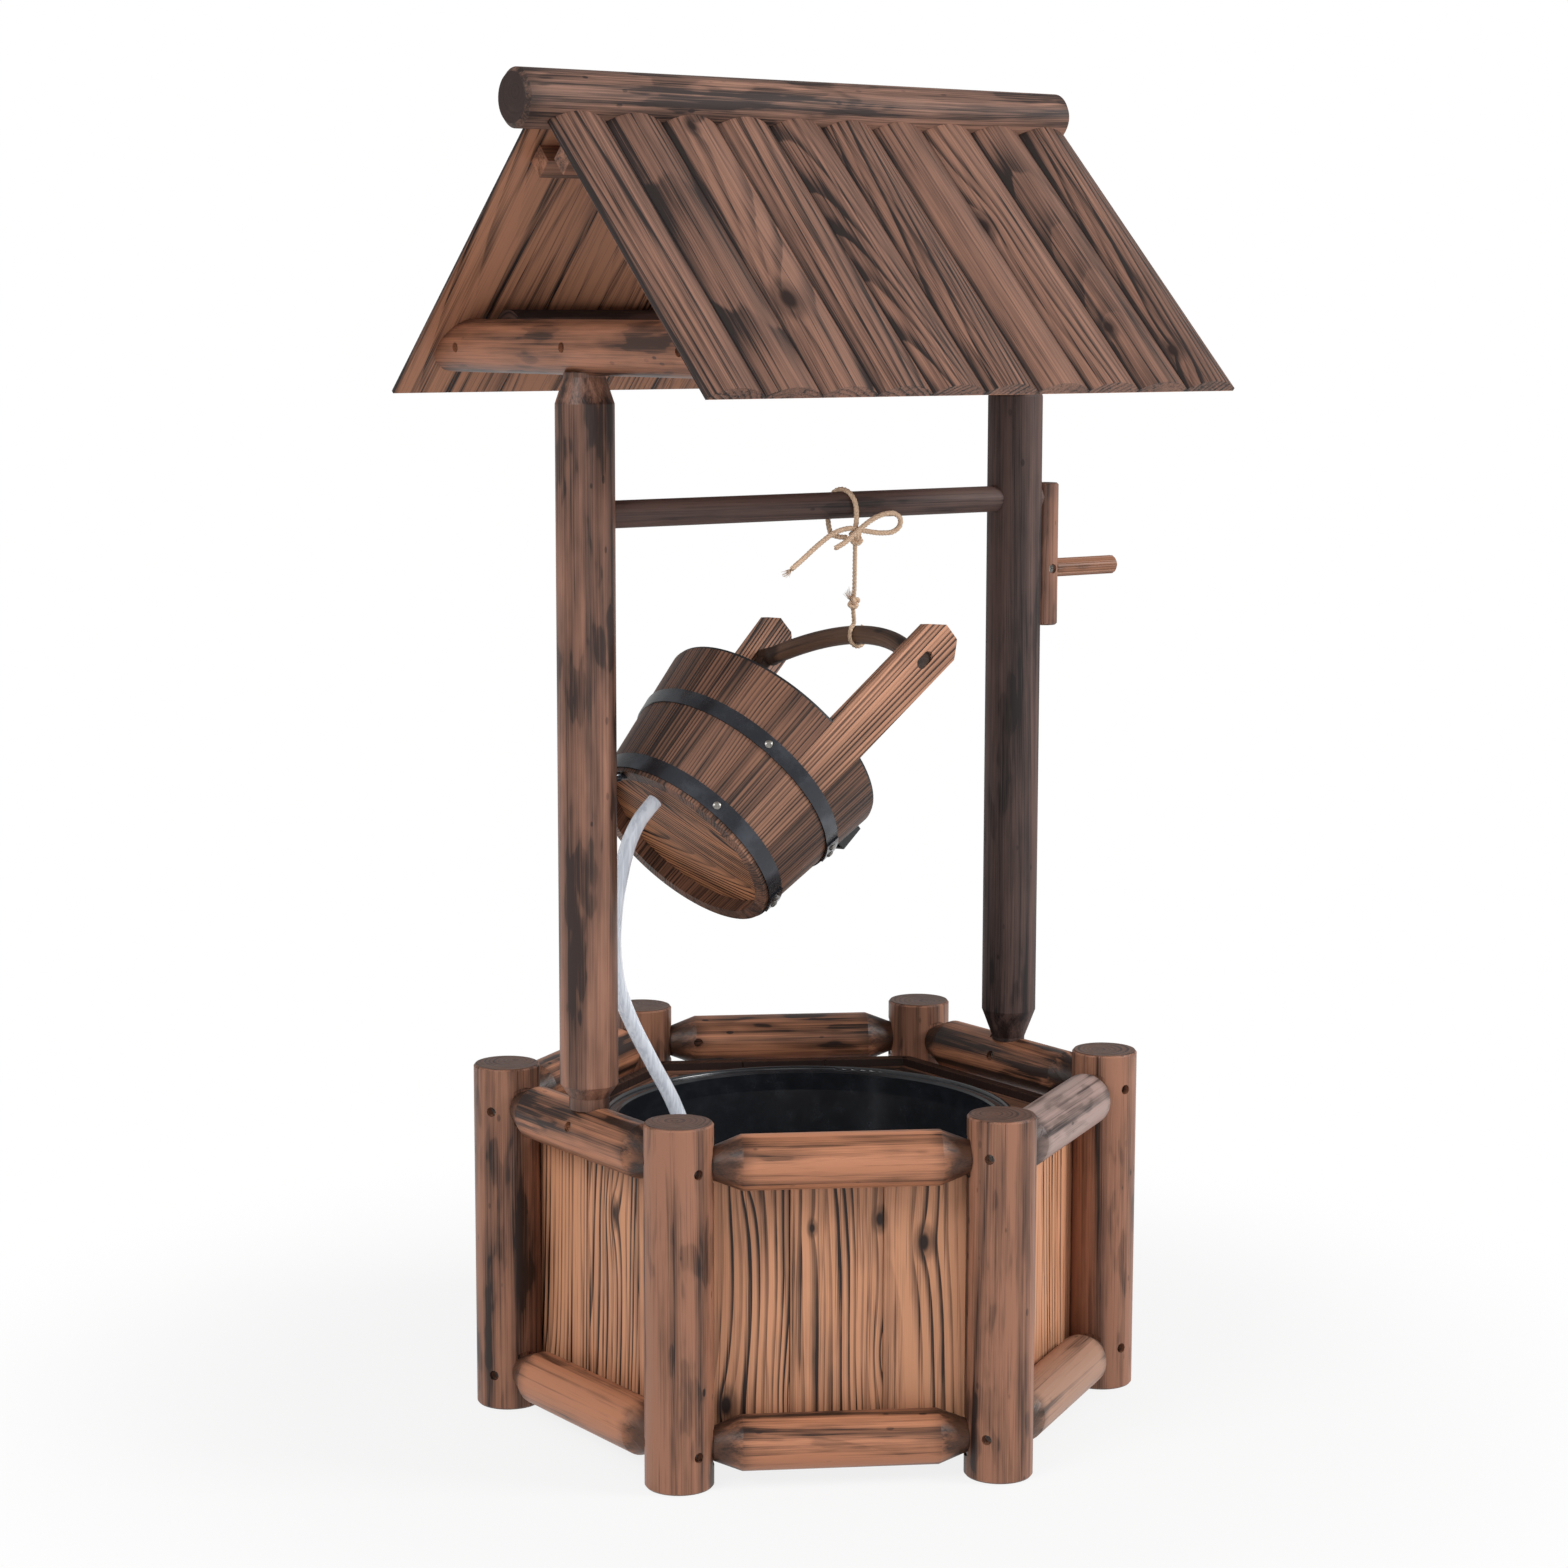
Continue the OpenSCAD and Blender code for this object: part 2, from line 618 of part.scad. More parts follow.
module roof_purlins() {
  reach = side_a - beam_r - 0.1;
  color(dark) for (y = [-purlin_y, purlin_y]) difference() {
    translate([0, y, purlin_z]) bar_x(-reach, reach, purlin_r);
    for (s = [-1, 1])
      translate([s * (reach - 12), sign(y) * beam_screw_y, beam_z - beam_screw_drop])
        bar_x(-20, 20, pilot_r);
  }
}

module windlass_axle() {
  color(dark) difference() {
    translate([0, 0, axle_z]) {
      bar_x(axle_end_x, side_a + tall_r + 0.4, axle_r);
      bar_x(side_a + tall_r, arm_x + 6, arm_tenon_r);
    }
    translate([arm_x, 0, axle_z - 30]) cylinder(h = 60, r = pilot_r);
  }
}

module crank_arm() {
  color(bark) difference() {
    translate([arm_x, 0, arm_top - arm_length]) {
      cylinder(h = 1.5, r1 = arm_r - 1.5, r2 = arm_r);
      translate([0, 0, 1.5]) cylinder(h = arm_length - 3, r = arm_r);
      translate([0, 0, arm_length - 1.5]) cylinder(h = 1.5, r1 = arm_r, r2 = arm_r - 1.5);
    }
    translate([0, 0, axle_z]) bar_x(arm_x - 20, arm_x + 6.2, arm_tenon_r + 0.05);
    translate([0, 0, handle_z]) bar_x(arm_x - 6.2, arm_x + 20, handle_tenon_r + 0.05);
    at_top_pin() screw_hole(top_pin_l, 10);
    at_side_pin() screw_hole(side_pin_l, 10);
  }
}

// Places children at the heads of the arm's two screws
module at_top_pin() {
  translate([arm_x, 0, axle_z + arm_tenon_r + head_h + seat]) children();
}

module at_side_pin() {
  translate([arm_x, 3 - arm_r, handle_z]) rotate([90, 0, 0]) children();
}

module crank_handle() {
  x0 = arm_x + arm_r - 2.5;
  x1 = arm_x + arm_r + handle_length;
  color(bark) difference() {
    translate([0, 0, handle_z]) {
      bar_x(arm_x - 6, x0 + 5, handle_tenon_r);
      difference() {
        union() {
          bar_x(x0, x1 - 3, handle_r);
          translate([x1 - 3, 0, 0]) rotate([0, 90, 0])
            cylinder(h = 3, r1 = handle_r, r2 = handle_r - 3);
        }
        translate([arm_x, 0, -30]) cylinder(h = 60, r = arm_r + 0.1);
        for (a = [0:30:330]) rotate([a, 0, 0]) translate([0, 0, handle_r + 0.5])
          bar_x(x0 - 1, x1 + 1, 1.3);
      }
    }
    translate([arm_x, 0, handle_z]) rotate([90, 0, 0])
      cylinder(h = 60, r = pilot_r, center = true);
  }
}

// Screws that lock the arm on the axle and the handle in the arm
module crank_pins() {
  color(steel) {
    at_top_pin() screw(top_pin_l);
    at_side_pin() screw(side_pin_l);
  }
}

// Places children in the bucket's own frame
module in_bucket() {
  translate(bucket_at) rotate([0, 0, bucket_yaw]) rotate([0, 90 - bucket_tilt, 0])
    rotate([0, 0, -bucket_spin]) children();
}

module stave_shell(h) {
  difference() {
    cylinder(h = h, r1 = bucket_r0, r2 = stave_r(h));
    translate([0, 0, -1]) cylinder(h = h + 2, r1 = stave_r(-1) - stave_t, r2 = stave_r(h + 1) - stave_t);
  }
}

module wedge(a, h) {
  rotate([0, 0, a]) translate([0, 0, -2]) linear_extrude(height = h + 4)
    polygon([[0, 0], [160 * cos(stave_half), -160 * sin(stave_half)],
      [160 * cos(stave_half), 160 * sin(stave_half)]]);
}

// Rivet places on the hoops: height above the bottom edge and angle
rivet_high = (hoop_high[0] + hoop_high[1]) / 2;
rivet_low = (hoop_low[0] + hoop_low[1]) / 2;
rivet_spots = [[rivet_high, rivet_a], [rivet_low, rivet_a], [rivet_high, lap_a - 4],
  [rivet_high, lap_a + 4], [rivet_low, lap_a - 4], [rivet_low, lap_a + 4]];

// Places children on the staves' outer face at a rivet, local +Z square out of it
module at_rivet(spot) {
  rotate([0, 0, spot[1]]) translate([stave_r(spot[0]), 0, spot[0]])
    rotate([0, 90 + atan(flare), 0]) children();
}

module rivet_cuts(r) {
  for (s = rivet_spots) at_rivet(s) translate([0, 0, -8]) cylinder(h = 16, r = r);
}

module bucket_staves() {
  step = 360 / stave_count;
  color(bark) in_bucket() for (k = [0:stave_count - 1]) if (k % 8 != 4) difference() {
    intersection() {
      stave_shell(bucket_h);
      wedge(k * step, bucket_h);
    }
    if (abs(k * step - 360 - rivet_a) < 12 || abs(k * step - 360 - lap_a) < 22) rivet_cuts(1.35);
    if (k == 8) spacer_cut(2.6);
  }
}

// The spacer's level hole, written in the bucket's frame
module spacer_cut(r) {
  rotate([0, 0, bucket_spin]) rotate([0, bucket_tilt - 90, 0]) rotate([0, 0, -bucket_yaw])
    translate(-bucket_at) translate([0, spacer_y, spacer_z]) bar_x(spacer_x - 10, spacer_x + 9, r);
}

// A stave at angle a that runs up past the rim to height h, wider above its neighbours' tops
module ear_stave(a, h) {
  in_bucket() difference() {
    intersection() {
      stave_shell(h);
      rotate([0, 0, a]) translate([60, 0, 0]) rotate([90, 0, 90]) linear_extrude(height = 100)
        polygon([[-ear_half, -1], [ear_half, -1], [ear_half, h - 12], [ear_half - 12, h],
          [12 - ear_half, h], [-ear_half, h - 12]]);
      union() {
        wedge(a, bucket_h);
        translate([0, 0, bucket_h + tiny]) cylinder(h = h, r = 200);
      }
    }
    rotate([0, 0, a]) translate([90, 0, slot_z]) rotate([90, 0, 90])
      linear_extrude(height = 50) slot_outline(slot_r);
  }
}

// An upright slot with round ends
module slot_outline(r) {
  square([2 * r, 2 * slot_rise], center = true);
  for (y = [-slot_rise, slot_rise]) translate([0, y]) circle(r = r);
}

module ear_stave_front() {
  color(bark) ear_stave(-90, ear_front_h);
}

module ear_stave_back() {
  color(bark) ear_stave(90, ear_back_h);
}

module bucket_bottom() {
  r0 = stave_r(floor_z) - stave_t - seat;
  r1 = stave_r(floor_z + floor_t) - stave_t - seat;
  color(bark) in_bucket() for (k = [-1:1]) difference() {
    intersection() {
      translate([0, 0, floor_z]) cylinder(h = floor_t, r1 = r0, r2 = r1);
      translate([-100, k * 54 - 26.85, floor_z - 1]) cube([200, 53.7, floor_t + 2]);
    }
    translate([hose_hole[0], hose_hole[1], 0]) cylinder(h = 60, r = hose_r + seat);
  }
}

module bucket_liner() {
  z0 = floor_z + floor_t + seat;
  ro0 = stave_r(z0) - stave_t - 0.3;
  ro1 = stave_r(lip_z) - stave_t - 0.3;
  notch_y = sqrt(pow(stave_r(lip_z) - stave_t, 2) - ear_half * ear_half) - seat;
  color(black) in_bucket() difference() {
    union() {
      translate([0, 0, z0]) cylinder(h = lip_z - z0, r1 = ro0, r2 = ro1);
      translate([0, 0, lip_z]) cylinder(h = 2, r = bucket_r1 - 0.6);
      translate([88, -spout_half, lip_z]) cube([spout_x - 88, 2 * spout_half, 10]);
      translate([bucket_r1 + 0.6, -spout_half, spout_low])
        cube([spout_x - bucket_r1 - 0.6, 2 * spout_half, lip_z - spout_low + 3]);
    }
    translate([0, 0, z0 + liner_wall]) cylinder(h = lip_z + 20 - z0, r1 = ro0 - liner_wall,
      r2 = ro1 - liner_wall + flare * 18);
    for (a = [0, 180]) rotate([0, 0, a]) translate([-ear_half - 0.4, notch_y, lip_z - tiny])
      cube([2 * ear_half + 0.8, 20, 12]);
    translate([80, 2.5 - spout_half, lip_z + 2.4]) cube([40, 2 * spout_half - 5, 12]);
    translate([108.5, 2.5 - spout_half, spout_low - 3]) cube([5.5, 2 * spout_half - 5, 17]);
    translate([hose_hole[0], hose_hole[1], 0]) cylinder(h = 40, r = 4.5);
  }
}

// A conical iron hoop between two heights, its ends lapped
module hoop(z0, z1) {
  difference() {
    union() {
      hoop_ring(z0, z1, 0.15, hoop_t);
      intersection() {
        hoop_ring(z0, z1, 0.15 + hoop_t - 0.01, hoop_t);
        rotate([0, 0, lap_a]) translate([0, 0, z0 - 1]) linear_extrude(height = z1 - z0 + 2)
          polygon([[0, 0], [150 * cos(9), -150 * sin(9)], [150 * cos(9), 150 * sin(9)]]);
      }
    }
    rivet_cuts(1.35);
  }
}

module hoop_ring(z0, z1, gap, t) {
  difference() {
    translate([0, 0, z0]) cylinder(h = z1 - z0, r1 = stave_r(z0) + gap + t, r2 = stave_r(z1) + gap + t);
    translate([0, 0, z0 - 1]) cylinder(h = z1 - z0 + 2, r1 = stave_r(z0 - 1) + gap,
      r2 = stave_r(z1 + 1) + gap);
  }
}

module hoop_upper() {
  color(iron) in_bucket() hoop(hoop_high[0], hoop_high[1]);
}

module hoop_lower() {
  color(iron) in_bucket() hoop(hoop_low[0], hoop_low[1]);
}

module hoop_rivets() {
  color(steel) in_bucket() for (k = [0:len(rivet_spots) - 1]) {
    lift = 0.15 + hoop_t + (k > 1 ? hoop_t : 0) + 0.05;
    at_rivet(rivet_spots[k]) {
      translate([0, 0, lift]) cylinder(h = 0.7, r = 3.2);
      translate([0, 0, lift + 0.7]) cylinder(h = 0.8, r1 = 3.2, r2 = 1.8);
      translate([0, 0, -6]) cylinder(h = 6 + lift + 0.2, r = 1.25);
    }
  }
}

module bail() {
  end_y = bail_arc_r * sin(bail_half_a);
  end_z = bail_top_z - bail_arc_r + bail_arc_r * cos(bail_half_a);
  face_y = stave_r(slot_z) - stave_t / 2;
  color(dark) in_bucket() {
    translate([0, 0, bail_top_z - bail_arc_r]) rotate([0, -90, 0]) rotate([0, 0, -bail_half_a])
      rotate_extrude(angle = 2 * bail_half_a) translate([bail_arc_r, 0]) circle(r = bail_r);
    for (s = [-1, 1]) {
      translate([0, s * end_y, end_z]) sphere(r = bail_r + 0.4);
      translate([0, s * end_y, end_z]) rotate([s * -96, 0, 0])
        cylinder(h = face_y - end_y - 6.4, r1 = bail_r, r2 = bail_r - 0.6);
      translate([0, s > 0 ? end_y + 2 : -face_y - 3.4, slot_z]) rotate([-90, 0, 0])
        linear_extrude(height = face_y + 1.4 - end_y) slot_outline(slot_r - 0.2);
    }
  }
}

// A sleeve and its screw hold the bucket's bottom edge against the left tall post
module bucket_spacer() {
  color(iron) translate([0, spacer_y, spacer_z]) {
    bar_x(-side_a + tall_r + tiny, spacer_x - 5.5, 4.5);
    bar_x(-side_a - 4, spacer_x + 8, 2.5);
  }
}

module pump_body() {
  x0 = pump_at[0] - pump_l / 2 - 6;
  color(black) difference() {
    union() {
      translate([x0, pump_at[1] - pump_w / 2, pump_z]) cube([pump_l - 8, pump_w, pump_h - 8]);
      translate([x0 + 3, pump_at[1] - pump_w / 2 + 3, pump_z]) cube([pump_l - 14, pump_w - 6, pump_h]);
      translate([outlet_x, pump_at[1], pump_z + pump_h - 1]) cylinder(h = 9, r = 9);
      translate([outlet_x, pump_at[1], pump_z + pump_h]) cylinder(h = outlet_z - pump_z - pump_h, r = 7.4);
      translate([x0 - 7, pump_at[1], pump_z + 12]) rotate([0, 90, 0]) cylinder(h = 8, r1 = 4, r2 = 6);
    }
    translate([0, pump_at[1], impeller_z]) {
      bar_x(impeller_x - 14, impeller_x + 40, 17);
      bar_x(impeller_x - 22, impeller_x, 2.05);
    }
    translate([outlet_x, pump_at[1], impeller_z + 12]) cylinder(h = 60, r = 4.5);
    for (x = foot_dx, s = [-1, 1])
      translate([pump_at[0] + x, pump_at[1] + s * foot_dy, pump_z - 1]) cylinder(h = 5, r = 3.1);
  }
}

module pump_cover() {
  xc = pump_at[0] + pump_l / 2 - 14 + 0.2;
  color(iron) difference() {
    union() {
      translate([xc, pump_at[1] - pump_w / 2 + 1, pump_z + 1]) cube([9, pump_w - 2, pump_h - 10]);
      translate([0, pump_at[1], impeller_z]) bar_x(xc, xc + 12, 15);
    }
    translate([0, pump_at[1], impeller_z]) {
      bar_x(xc - 1, xc + 4, 16);
      bar_x(xc - 1, xc + 9, 2.05);
    }
    for (k = [-3:3]) if (k != 0) translate([xc - 1, pump_at[1] + k * 5.5 - 1.2, impeller_z - 11])
      cube([20, 2.4, 22]);
  }
}

module pump_impeller() {
  x0 = impeller_x - 13;
  color(pale) translate([0, pump_at[1], impeller_z]) {
    bar_x(x0 - 6, x0 + 15.5, 2);
    bar_x(x0, x0 + 7.5, 6);
    for (a = [0:60:300]) rotate([a, 0, 0]) translate([x0, -0.8, 4]) cube([7.5, 1.6, 11]);
  }
}

module pump_feet() {
  color(black) for (x = foot_dx, s = [-1, 1])
    translate([pump_at[0] + x, pump_at[1] + s * foot_dy, basin_floor + 0.05]) {
      cylinder(h = 3.5, r1 = 7.5, r2 = 4);
      cylinder(h = cup_h + 3.5, r = 3);
    }
}

module hose() {
  color(clear) tube(hose_path, hose_r, 12);
}

module rope_sling() {
  color(jute) tube(sling_route, rope_r, 8);
}

module rope_bow() {
  color(jute) tube(bow_route, rope_r, 8);
}

module rope_drop() {
  color(jute) tube(drop_route, rope_r, 8);
}

corner_post(1);  // corner_post_1
corner_post(2);  // corner_post_2
corner_post(3);  // corner_post_3
corner_post(4);  // corner_post_4
corner_post(5);  // corner_post_5
corner_post(6);  // corner_post_6
upper_rail(1);  // upper_rail_1
upper_rail(2);  // upper_rail_2
upper_rail(3);  // upper_rail_3
upper_rail(4);  // upper_rail_4
upper_rail(5);  // upper_rail_5
upper_rail(6);  // upper_rail_6
lower_rail(1);  // lower_rail_1
lower_rail(2);  // lower_rail_2
lower_rail(3);  // lower_rail_3
lower_rail(4);  // lower_rail_4
lower_rail(5);  // lower_rail_5
lower_rail(6);  // lower_rail_6
side_panel(1);  // side_panel_1
side_panel(2);  // side_panel_2
side_panel(3);  // side_panel_3
side_panel(4);  // side_panel_4
side_panel(5);  // side_panel_5
side_panel(6);  // side_panel_6
panel_cleats();
basin_ledge();
basin();
base_screws();
well_post_left();
well_post_right();
tie_beam_left();
tie_beam_right();
frame_screws();
ridge_log();
roof_battens();
roof_purlins();
roof_front();
roof_back();
windlass_axle();
crank_arm();
crank_handle();
crank_pins();
bucket_staves();
ear_stave_front();
ear_stave_back();
bucket_bottom();
bucket_liner();
hoop_upper();
hoop_lower();
hoop_rivets();
bail();
bucket_spacer();
pump_body();
pump_cover();
pump_impeller();
pump_feet();
hose();
rope_sling();
rope_bow();
rope_drop();
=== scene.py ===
"""Wishing well fountain: scorched fir logs, a plank roof, a windlass and a pouring bucket.

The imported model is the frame. Its rigid solids stay and get their finishes here, and the
hose, the twine and the boards of the six sides are modelled in full.
"""

import logging
import math
from collections.abc import Iterable, Mapping, Sequence
from dataclasses import dataclass, field, replace
from enum import Enum

import bpy
from mathutils import Euler, Matrix, Vector


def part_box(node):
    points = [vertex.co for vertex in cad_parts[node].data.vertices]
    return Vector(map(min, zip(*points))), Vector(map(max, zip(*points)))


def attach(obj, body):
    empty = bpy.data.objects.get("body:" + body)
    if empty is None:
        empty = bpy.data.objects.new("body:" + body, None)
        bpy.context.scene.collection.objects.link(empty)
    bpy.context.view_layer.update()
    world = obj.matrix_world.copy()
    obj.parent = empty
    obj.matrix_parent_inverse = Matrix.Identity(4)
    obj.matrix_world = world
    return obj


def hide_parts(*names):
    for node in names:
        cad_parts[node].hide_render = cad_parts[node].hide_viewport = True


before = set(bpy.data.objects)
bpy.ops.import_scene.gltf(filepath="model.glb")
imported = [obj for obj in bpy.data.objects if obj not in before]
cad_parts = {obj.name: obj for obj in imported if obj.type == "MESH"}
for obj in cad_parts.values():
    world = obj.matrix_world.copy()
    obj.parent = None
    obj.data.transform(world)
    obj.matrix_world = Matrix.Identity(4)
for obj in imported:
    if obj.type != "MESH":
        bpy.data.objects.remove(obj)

LOG = logging.getLogger("wishing_well")
MM = 0.001

Point = tuple[float, float, float]
Rgba = tuple[float, float, float, float]
Span = tuple[float, float]
Marks = tuple[tuple[float, float, float], ...]


def tint(red: float, green: float, blue: float) -> Rgba:
    """Turns a colour as it is seen on a screen into the shader's linear light.

    Args:
        red: red from 0 to 255.
        green: green from 0 to 255.
        blue: blue from 0 to 255.

    Returns:
        The linear colour with a full alpha.
    """
    def linear(value: float) -> float:
        """Undoes the screen's curve for one channel."""
        v = value / 255
        return v / 12.92 if v <= 0.04045 else ((v + 0.055) / 1.055) ** 2.4

    return (linear(red), linear(green), linear(blue), 1.0)


class Field:
    """One output of a node, which takes part in ordinary Python sums."""

    def __init__(self, tree: "Tree", node: bpy.types.Node, out: str | int = 0) -> None:
        """Wraps an output of one of the tree's nodes."""
        self.tree = tree
        self.node = node
        self.out = out

    def __getitem__(self, out: str | int) -> "Field":
        """Gives another output of the same node."""
        return Field(self.tree, self.node, out)

    def __add__(self, other: "Number") -> "Field":
        """Adds a value."""
        return self.tree.maths("ADD", self, other)

    __radd__ = __add__

    def __sub__(self, other: "Number") -> "Field":
        """Takes a value away."""
        return self.tree.maths("SUBTRACT", self, other)

    def __rsub__(self, other: "Number") -> "Field":
        """Takes this field away from a value."""
        return self.tree.maths("SUBTRACT", other, self)

    def __mul__(self, other: "Number") -> "Field":
        """Multiplies by a value."""
        return self.tree.maths("MULTIPLY", self, other)

    __rmul__ = __mul__

    def __truediv__(self, other: "Number") -> "Field":
        """Divides by a value."""
        return self.tree.maths("DIVIDE", self, other)

    def __pow__(self, other: "Number") -> "Field":
        """Raises to a power."""
        return self.tree.maths("POWER", self, other)

    def clamp(self) -> "Field":
        """Keeps the value between 0 and 1."""
        return self.tree.maths("MINIMUM", self.tree.maths("MAXIMUM", self, 0.0), 1.0)

    def step(self, low: float, high: float) -> "Field":
        """Rises smoothly from 0 to 1.

        Args:
            low: the value at which it is 0.
            high: the value at which it is 1; where this is the lower one, it falls instead.

        Returns:
            The result, which stays 0 and 1 beyond the two values.
        """
        rise = self.tree.add(
            "ShaderNodeMapRange", {"interpolation_type": "SMOOTHSTEP"},
            {"Value": self, "From Min": min(low, high), "From Max": max(low, high)})
        return 1.0 - rise if high < low else rise


Number = Field | float


class Tree:
    """A node tree, written as expressions."""

    def __init__(self, group: bpy.types.NodeTree) -> None:
        """Takes a node tree over and empties it."""
        self.group = group
        group.nodes.clear()

    def add(self, kind: str, settings: Mapping[str, object] | None = None,
            values: Mapping[str | int, object] | None = None) -> Field:
        """Adds a node.

        Args:
            kind: the node's type.
            settings: its properties, set first.
            values: plain values, fields or lists of fields for its input sockets.

        Returns:
            The new node's first output.
        """
        node = self.group.nodes.new(kind)
        for name, value in (settings or {}).items():
            setattr(node, name, value)
        for name, value in (values or {}).items():
            if not isinstance(value, (Field, list)):
                node.inputs[name].default_value = value
                continue
            for source in value if isinstance(value, list) else [value]:
                self.group.links.new(source.node.outputs[source.out], node.inputs[name])
        return Field(self, node)

    def maths(self, operation: str, *values: Number) -> Field:
        """Adds a Math node of that operation on the values."""
        return self.add("ShaderNodeMath", {"operation": operation}, dict(enumerate(values)))

    def join(self, x: Number, y: Number, z: Number) -> Field:
        """Puts three numbers together as a vector."""
        return self.add("ShaderNodeCombineXYZ", None, {0: x, 1: y, 2: z})


class Shader(Tree):
    """A material's node tree."""

    def __init__(self, name: str) -> None:
        """Starts an empty material of that name."""
        self.material = bpy.data.materials.new(name)
        self.material.use_nodes = True
        super().__init__(self.material.node_tree)

    def split(self, vector: Field) -> tuple[Field, Field, Field]:
        """Takes a vector apart into its three numbers."""
        parts = self.add("ShaderNodeSeparateXYZ", None, {0: vector})
        return parts, parts[1], parts[2]

    def place(self, origin: Point = (0, 0, 0), turn: Point = (0, 0, 0),
              mirrored: bool = False) -> Field:
        """Gives the surface point in a piece's own frame.

        Args:
            origin: the frame's origin in metres.
            turn: the frame's Euler turn in radians.
            mirrored: whether the object's two halves across Y share the frame.

        Returns:
            The point in metres, as a vector.
        """
        point = self.add("ShaderNodeTexCoord")["Object"]
        if mirrored:
            x, y, z = self.split(point)
            point = self.join(x, self.maths("ABSOLUTE", y), z)
        return self.add("ShaderNodeMapping", {"vector_type": "TEXTURE"}, {
            "Vector": point, "Location": origin, "Rotation": turn})

    def noise(self, vector: Field, scale: float, detail: float, roughness: float) -> Field:
        """Gives a soft noise from 0 to 1 at a scale per unit of the vector."""
        return self.add("ShaderNodeTexNoise", None, {
            "Vector": vector, "Scale": scale, "Detail": detail, "Roughness": roughness})["Fac"]

    def cells(self, vector: Field, scale: float, scatter: float) -> tuple[Field, Field]:
        """Gives the distance to the nearest of many scattered points, and its own colour."""
        cells = self.add("ShaderNodeTexVoronoi", {"feature": "F1"}, {
            "Vector": vector, "Scale": scale, "Randomness": scatter})
        return cells["Distance"], cells["Color"]

    def chance(self, value: Number, seed: float) -> Field:
        """Gives each whole number its own random value from 0 to 1."""
        return self.add("ShaderNodeTexWhiteNoise", {"noise_dimensions": "2D"},
                        {"Vector": self.join(value, seed, 0.0)})["Value"]

    def blend(self, factor: Number, low: Field | Rgba, high: Field | Rgba) -> Field:
        """Mixes two colours."""
        return self.add("ShaderNodeMix", {"data_type": "RGBA"}, {0: factor, 6: low, 7: high})[2]

    def finish(self, values: Mapping[str, object], height: Field, relief: float,
               strength: float) -> bpy.types.Material:
        """Ends the tree in a Principled shader.

        Args:
            values: the shader's socket values and fields.
            height: what the surface's relief follows, from 0 to 1.
            relief: the depth in metres that a height of 1 stands for.
            strength: how strongly the relief shows.

        Returns:
            The finished material.
        """
        bump = self.add("ShaderNodeBump", None, {
            "Height": height, "Distance": relief, "Strength": strength})
        shader = self.add("ShaderNodeBsdfPrincipled", None, {**values, "Normal": bump["Normal"]})
        self.add("ShaderNodeOutputMaterial", None, {"Surface": shader})
        return self.material


class Layout(Enum):
    """How the grain of a piece lies in its own frame."""

    LOG = "one log along Z"
    BOARDS = "boards beside each other along Y, grain along Z"
    PLANKS = "planks beside each other along X, grain along Y"
    STAVES = "staves round Z, grain along Z"
    RING = "six boards round Z, grain along each side"
    ARC = "a bent stick round Z, grain along the arc"


@dataclass(frozen=True)
class Grain:
    """Where the grain of a wooden piece lies.

    Attributes:
        layout: how the grain lies in the piece's own frame.
        origin: the origin of that frame in metres.
        turn: its turn in degrees.
        pitch: a board's width in millimetres, a stave's angle in degrees or an arc's radius.
        start: where the first board starts, in millimetres.
        mirrored: whether the object's two halves across Y share the frame.
        seed: which piece of wood it is.
        lean: how far staves lean outward for each millimetre of height.
        ends: where the sawn ends lie along the grain, in millimetres.
        scorch: from where to where along the grain the burn grows, in millimetres.
        marks: knots that the photograph shows, each by place, height and size in millimetres.
    """

    layout: Layout = Layout.LOG
    origin: Point = (0.0, 0.0, 0.0)
    turn: Point = (0.0, 0.0, 0.0)
    pitch: float = 0.0
    start: float = 0.0
    mirrored: bool = False
    seed: float = 0.0
    lean: float = 0.0
    ends: Span | None = None
    scorch: Span | None = None
    marks: Marks = ()

    def euler(self) -> Euler:
        """Gives the turn as an Euler."""
        return Euler([math.radians(a) for a in self.turn])


